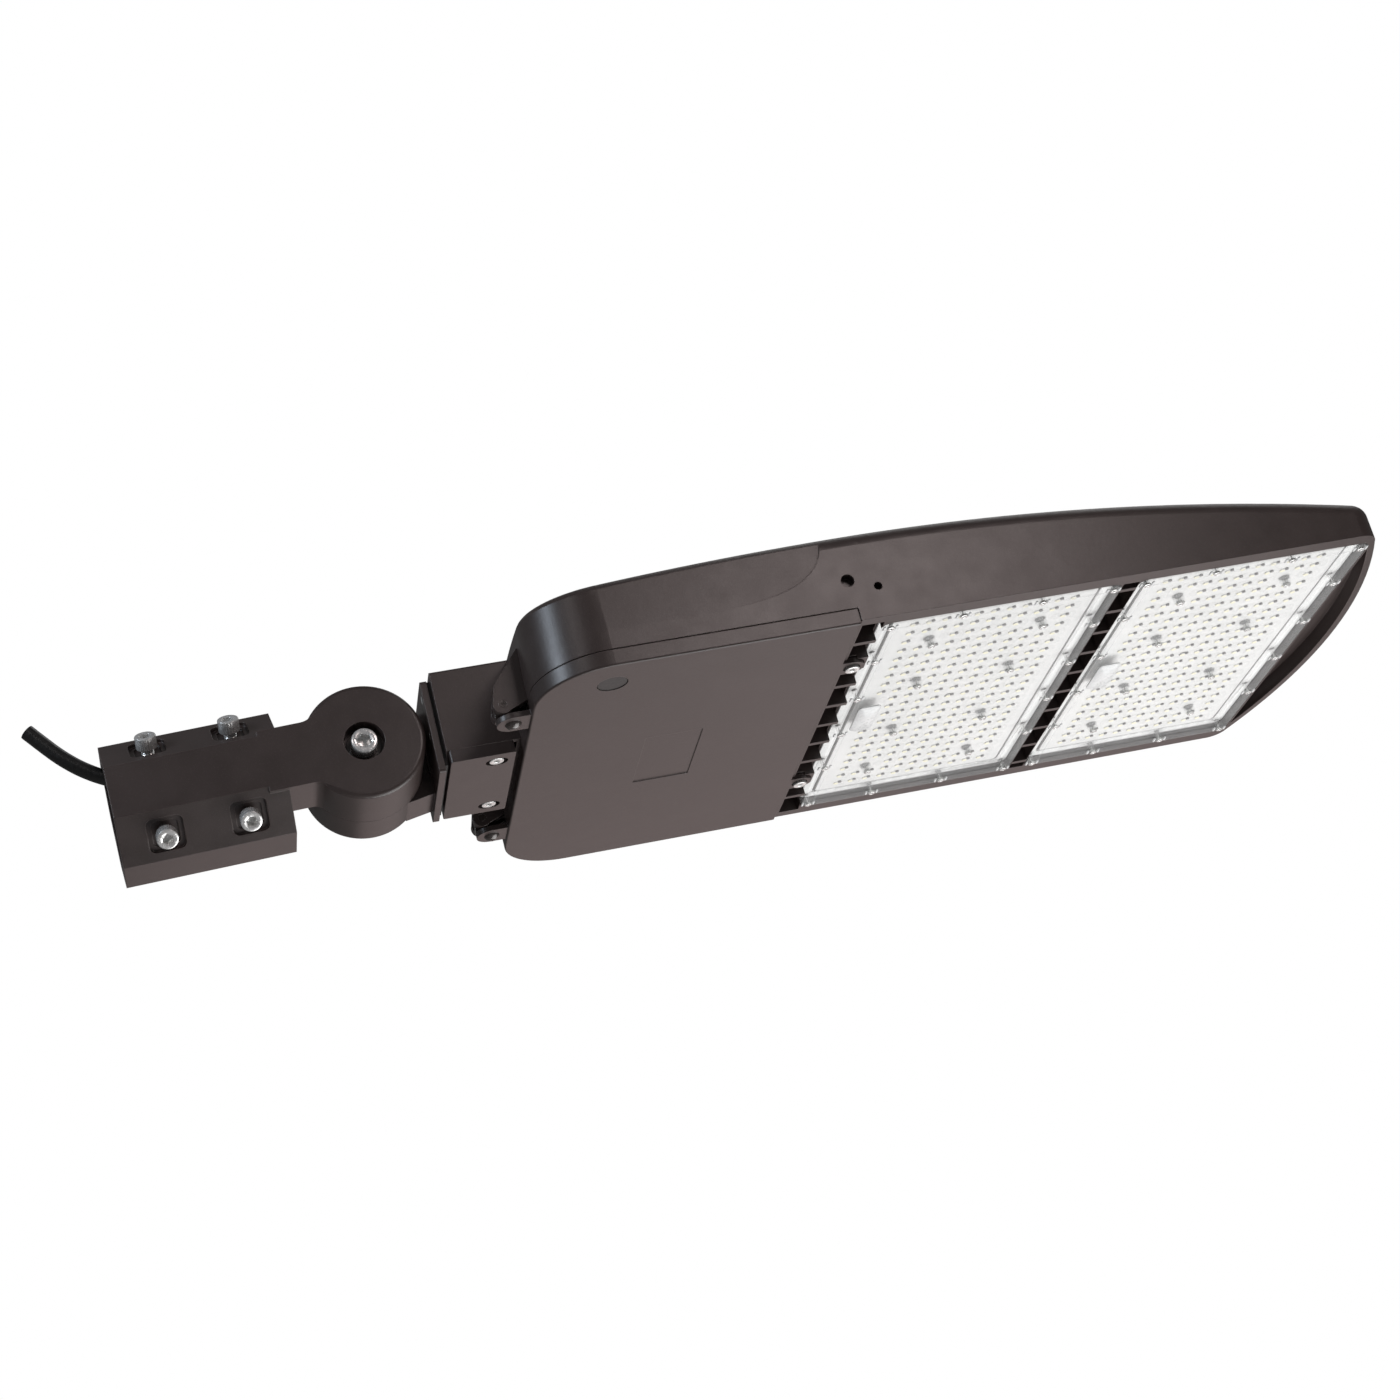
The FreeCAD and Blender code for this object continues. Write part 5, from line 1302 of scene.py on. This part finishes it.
    def _screws(self, seats: Sequence[Vector]) -> bpy.types.Object:
        """The screws that hold the lens, each turned at random.

        Args:
            seats: where their heads seat.

        Returns:
            The finished piece.
        """
        head = join_meshes("lens_screw", [(self.screw.mesh("lens_screw"), place_along(Vector(), DOWN))])
        steel = self.palette.get(FINISHES[Slot.STAINLESS])
        made = self.setter.set_out(f"lens_screws_detailed_{self.number}", head, seats, steel,
                                   self.screw_spread, self.screw_seed + self.number)
        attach(made, Body.HEAD.value)
        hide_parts(f"lens_screws_{self.number}")
        return made

    def _frame_screws(self, middle: Vector, half: Vector) -> list[Vector]:
        """Centres of the screws round the lens's frame.

        Args:
            middle: the lens's middle.
            half: half its length and width.

        Returns:
            The centres.
        """
        side_x, side_y = half.x - self.frame_inset, half.y - self.frame_inset
        between = [self.screw_shift + k * self.screw_pitch for k in self.screw_steps]
        along = [-side_y, *between, side_y]
        ends = (-1, 1)
        points = [middle + Vector((end * side_x, y, 0.0)) for end in ends for y in along]
        points += [middle + Vector((end * half.x / self.side_screw_part, side * side_y, 0.0))
                   for end in ends for side in ends]
        return points

    def _dome(self) -> bpy.types.Mesh:
        """A long low dome moulded in the lens, hanging from the window."""
        rings = [circle(self.dome_r * math.sin(t), -self.dome_h * math.cos(t), self.dome_facets)
                 for t in self.dome_angles]
        rings.append(circle(self.dome_r, self.dome_root, self.dome_facets))
        stretch = Matrix.Diagonal((*self.dome_stretch, 1.0))
        made = join_meshes("dome", [(closed_loft("dome", rings), stretch)])
        made.shade_smooth()
        return made

    def _clip_pair(self) -> bpy.types.Mesh:
        """Two short bars beside a frame screw."""
        bar = self.clip.mesh("clip")
        places = [Matrix.Translation((x, 0.0, self.clip_root)) for x in (-self.clip_x, self.clip_x)]
        return join_meshes("clips", [(bar, place) for place in places])

    def _boss(self, rise: float) -> bpy.types.Mesh:
        """A post round a screw in the lens's field, up to the board.

        Args:
            rise: how far the board is above the window.

        Returns:
            The mesh.
        """
        outer, hole, drop = self.boss_r, self.boss_hole_r, self.boss_drop
        profile = ((hole, -self.boss_sink), (hole, -drop), (outer - self.boss_lip, -drop),
                   (outer, -drop * self.boss_shoulder), (outer, rise))
        made = closed_loft("boss", [circle(radius, z, self.boss_facets) for radius, z in profile])
        shade_by_angle(made)
        return made


# -------------------------------------------------------------------------- studio


@dataclass
class SoftLight:
    """One soft rectangular light."""

    name: str
    place: Point
    target: Point
    size: Span
    power: float
    color: Color = (1.0, 1.0, 1.0)

    def build(self) -> bpy.types.Object:
        """Put the light in the scene.

        Returns:
            The light.
        """
        lamp = bpy.data.lights.new(self.name, "AREA")
        lamp.shape = "RECTANGLE"
        lamp.size, lamp.size_y = self.size
        lamp.energy = self.power
        lamp.color = self.color
        made = bpy.data.objects.new(self.name, lamp)
        bpy.context.scene.collection.objects.link(made)
        toward = Vector(self.target) - Vector(self.place)
        aim = toward.to_track_quat("-Z", "Y").to_matrix().to_4x4()
        made.matrix_world = Matrix.Translation(self.place) @ aim
        made.visible_camera = False
        return made


@dataclass
class Studio:
    """Camera, lights, background and floor."""

    camera_at: Point = (-0.0131, -1.5614, -0.6234)
    azimuth: float = math.radians(-13.841)
    elevation: float = math.radians(-21.517)
    roll: float = math.radians(-14.964)
    lens_mm: float = 70.03
    sensor_mm: float = 36.0
    clip: Span = (0.01, 60.0)
    floor_z: float = -1.3
    floor_half: float = 9.0
    fill: float = 0.13
    white: Color = (1.0, 1.0, 1.0)
    lights: tuple[SoftLight, ...] = (
        SoftLight("under_key", (0.85, 0.15, -1.05), (0.6, 0.0, 0.0), (1.3, 1.1), 17.5),
        SoftLight("far_panel", (0.75, 1.40, -0.55), (0.40, 0.0, 0.0), (1.5, 0.7), 1.9, (1.0, 0.80, 0.78)),
        SoftLight("side_panel", (0.72, -1.05, 0.38), (0.45, -0.15, 0.0), (0.40, 0.30), 2.9,
                  (1.0, 0.86, 0.84)),
        SoftLight("corner_strip", (-0.62, -0.38, 0.36), (0.26, -0.14, 0.0), (0.25, 0.35), 3.6,
                  (0.78, 0.88, 1.0)),
        SoftLight("screw_glint", (-0.35, -1.0, 0.5), (0.05, -0.03, 0.03), (0.35, 0.25), 0.9,
                  (1.0, 0.93, 0.92)),
        SoftLight("top_fill", (1.3, 0.4, 1.4), (0.6, 0.0, 0.0), (1.4, 1.0), 4.0),
    )

    def build(self) -> None:
        """Build the studio."""
        self._camera()
        for light in self.lights:
            light.build()
        self._background()
        self._floor()
        bpy.context.scene.view_settings.view_transform = "Standard"

    def _camera(self) -> None:
        """Place the camera from its angles."""
        a, e = self.azimuth, self.elevation
        back = Vector((math.sin(a) * math.cos(e), -math.cos(a) * math.cos(e), math.sin(e)))
        level = (-back).cross(Vector((0.0, 0.0, 1.0))).normalized()
        upright = level.cross(-back)
        right = math.cos(self.roll) * level + math.sin(self.roll) * upright
        up = -math.sin(self.roll) * level + math.cos(self.roll) * upright
        data = bpy.data.cameras.new("camera")
        data.lens = self.lens_mm
        data.sensor_width = self.sensor_mm
        data.sensor_fit = "HORIZONTAL"
        data.clip_start, data.clip_end = self.clip
        data.dof.use_dof = False
        camera = bpy.data.objects.new("camera", data)
        turn = Matrix((right, up, back)).transposed().to_4x4()
        camera.matrix_world = Matrix.Translation(self.camera_at) @ turn
        bpy.context.scene.collection.objects.link(camera)
        bpy.context.scene.camera = camera

    def _background(self) -> None:
        """White to the eye, softer as a source of light."""
        world = bpy.data.worlds.new("studio")
        world.use_nodes = True
        nodes, links = world.node_tree.nodes, world.node_tree.links
        nodes.clear()
        seen, cast = nodes.new("ShaderNodeBackground"), nodes.new("ShaderNodeBackground")
        for light in (seen, cast):
            light.inputs["Color"].default_value = (*self.white, 1.0)
        cast.inputs["Strength"].default_value = self.fill
        path, mix = nodes.new("ShaderNodeLightPath"), nodes.new("ShaderNodeMixShader")
        factor, for_light, for_eye = mix.inputs
        output = nodes.new("ShaderNodeOutputWorld")
        links.new(path.outputs["Is Camera Ray"], factor)
        links.new(cast.outputs["Background"], for_light)
        links.new(seen.outputs["Background"], for_eye)
        links.new(mix.outputs["Shader"], output.inputs["Surface"])
        bpy.context.scene.world = world

    def _floor(self) -> None:
        """A plain pale floor well below the lamp."""
        mesh = bpy.data.meshes.new("floor")
        signs = ((-1, -1), (1, -1), (1, 1), (-1, 1))
        points = [(x * self.floor_half, y * self.floor_half, self.floor_z) for x, y in signs]
        mesh.from_pydata(points, [], [(0, 1, 2, 3)])
        paint = Finish("pale_floor", (0.80, 0.80, 0.80), (0.84, 0.84, 0.84), roughness=0.8, cloud_scale=0.6,
                       grain_scale=40.0, grain_depth=0.2 * MM)
        add_object("floor", mesh, paint.build())


def main() -> None:
    """Build the scene and report each piece."""
    logging.basicConfig(level=logging.INFO, format="%(message)s")
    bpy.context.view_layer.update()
    Studio().build()
    palette = Palette()
    setter = Setter()
    pieces = SupplyCord(palette).build()
    LOG.info("dressed %d CAD nodes", CadDress(palette).build())
    pieces += SlipFitter(palette).build()
    pieces += HeadScrews(palette).build()
    for number in (1, 2):
        pieces += LightEngine(palette, setter, number).build()
    for piece in pieces:
        faces = len(piece.data.polygons) if piece.type == "MESH" else 0
        LOG.info("%s: %d faces", piece.name, faces)


if __name__ == "__main__":
    main()
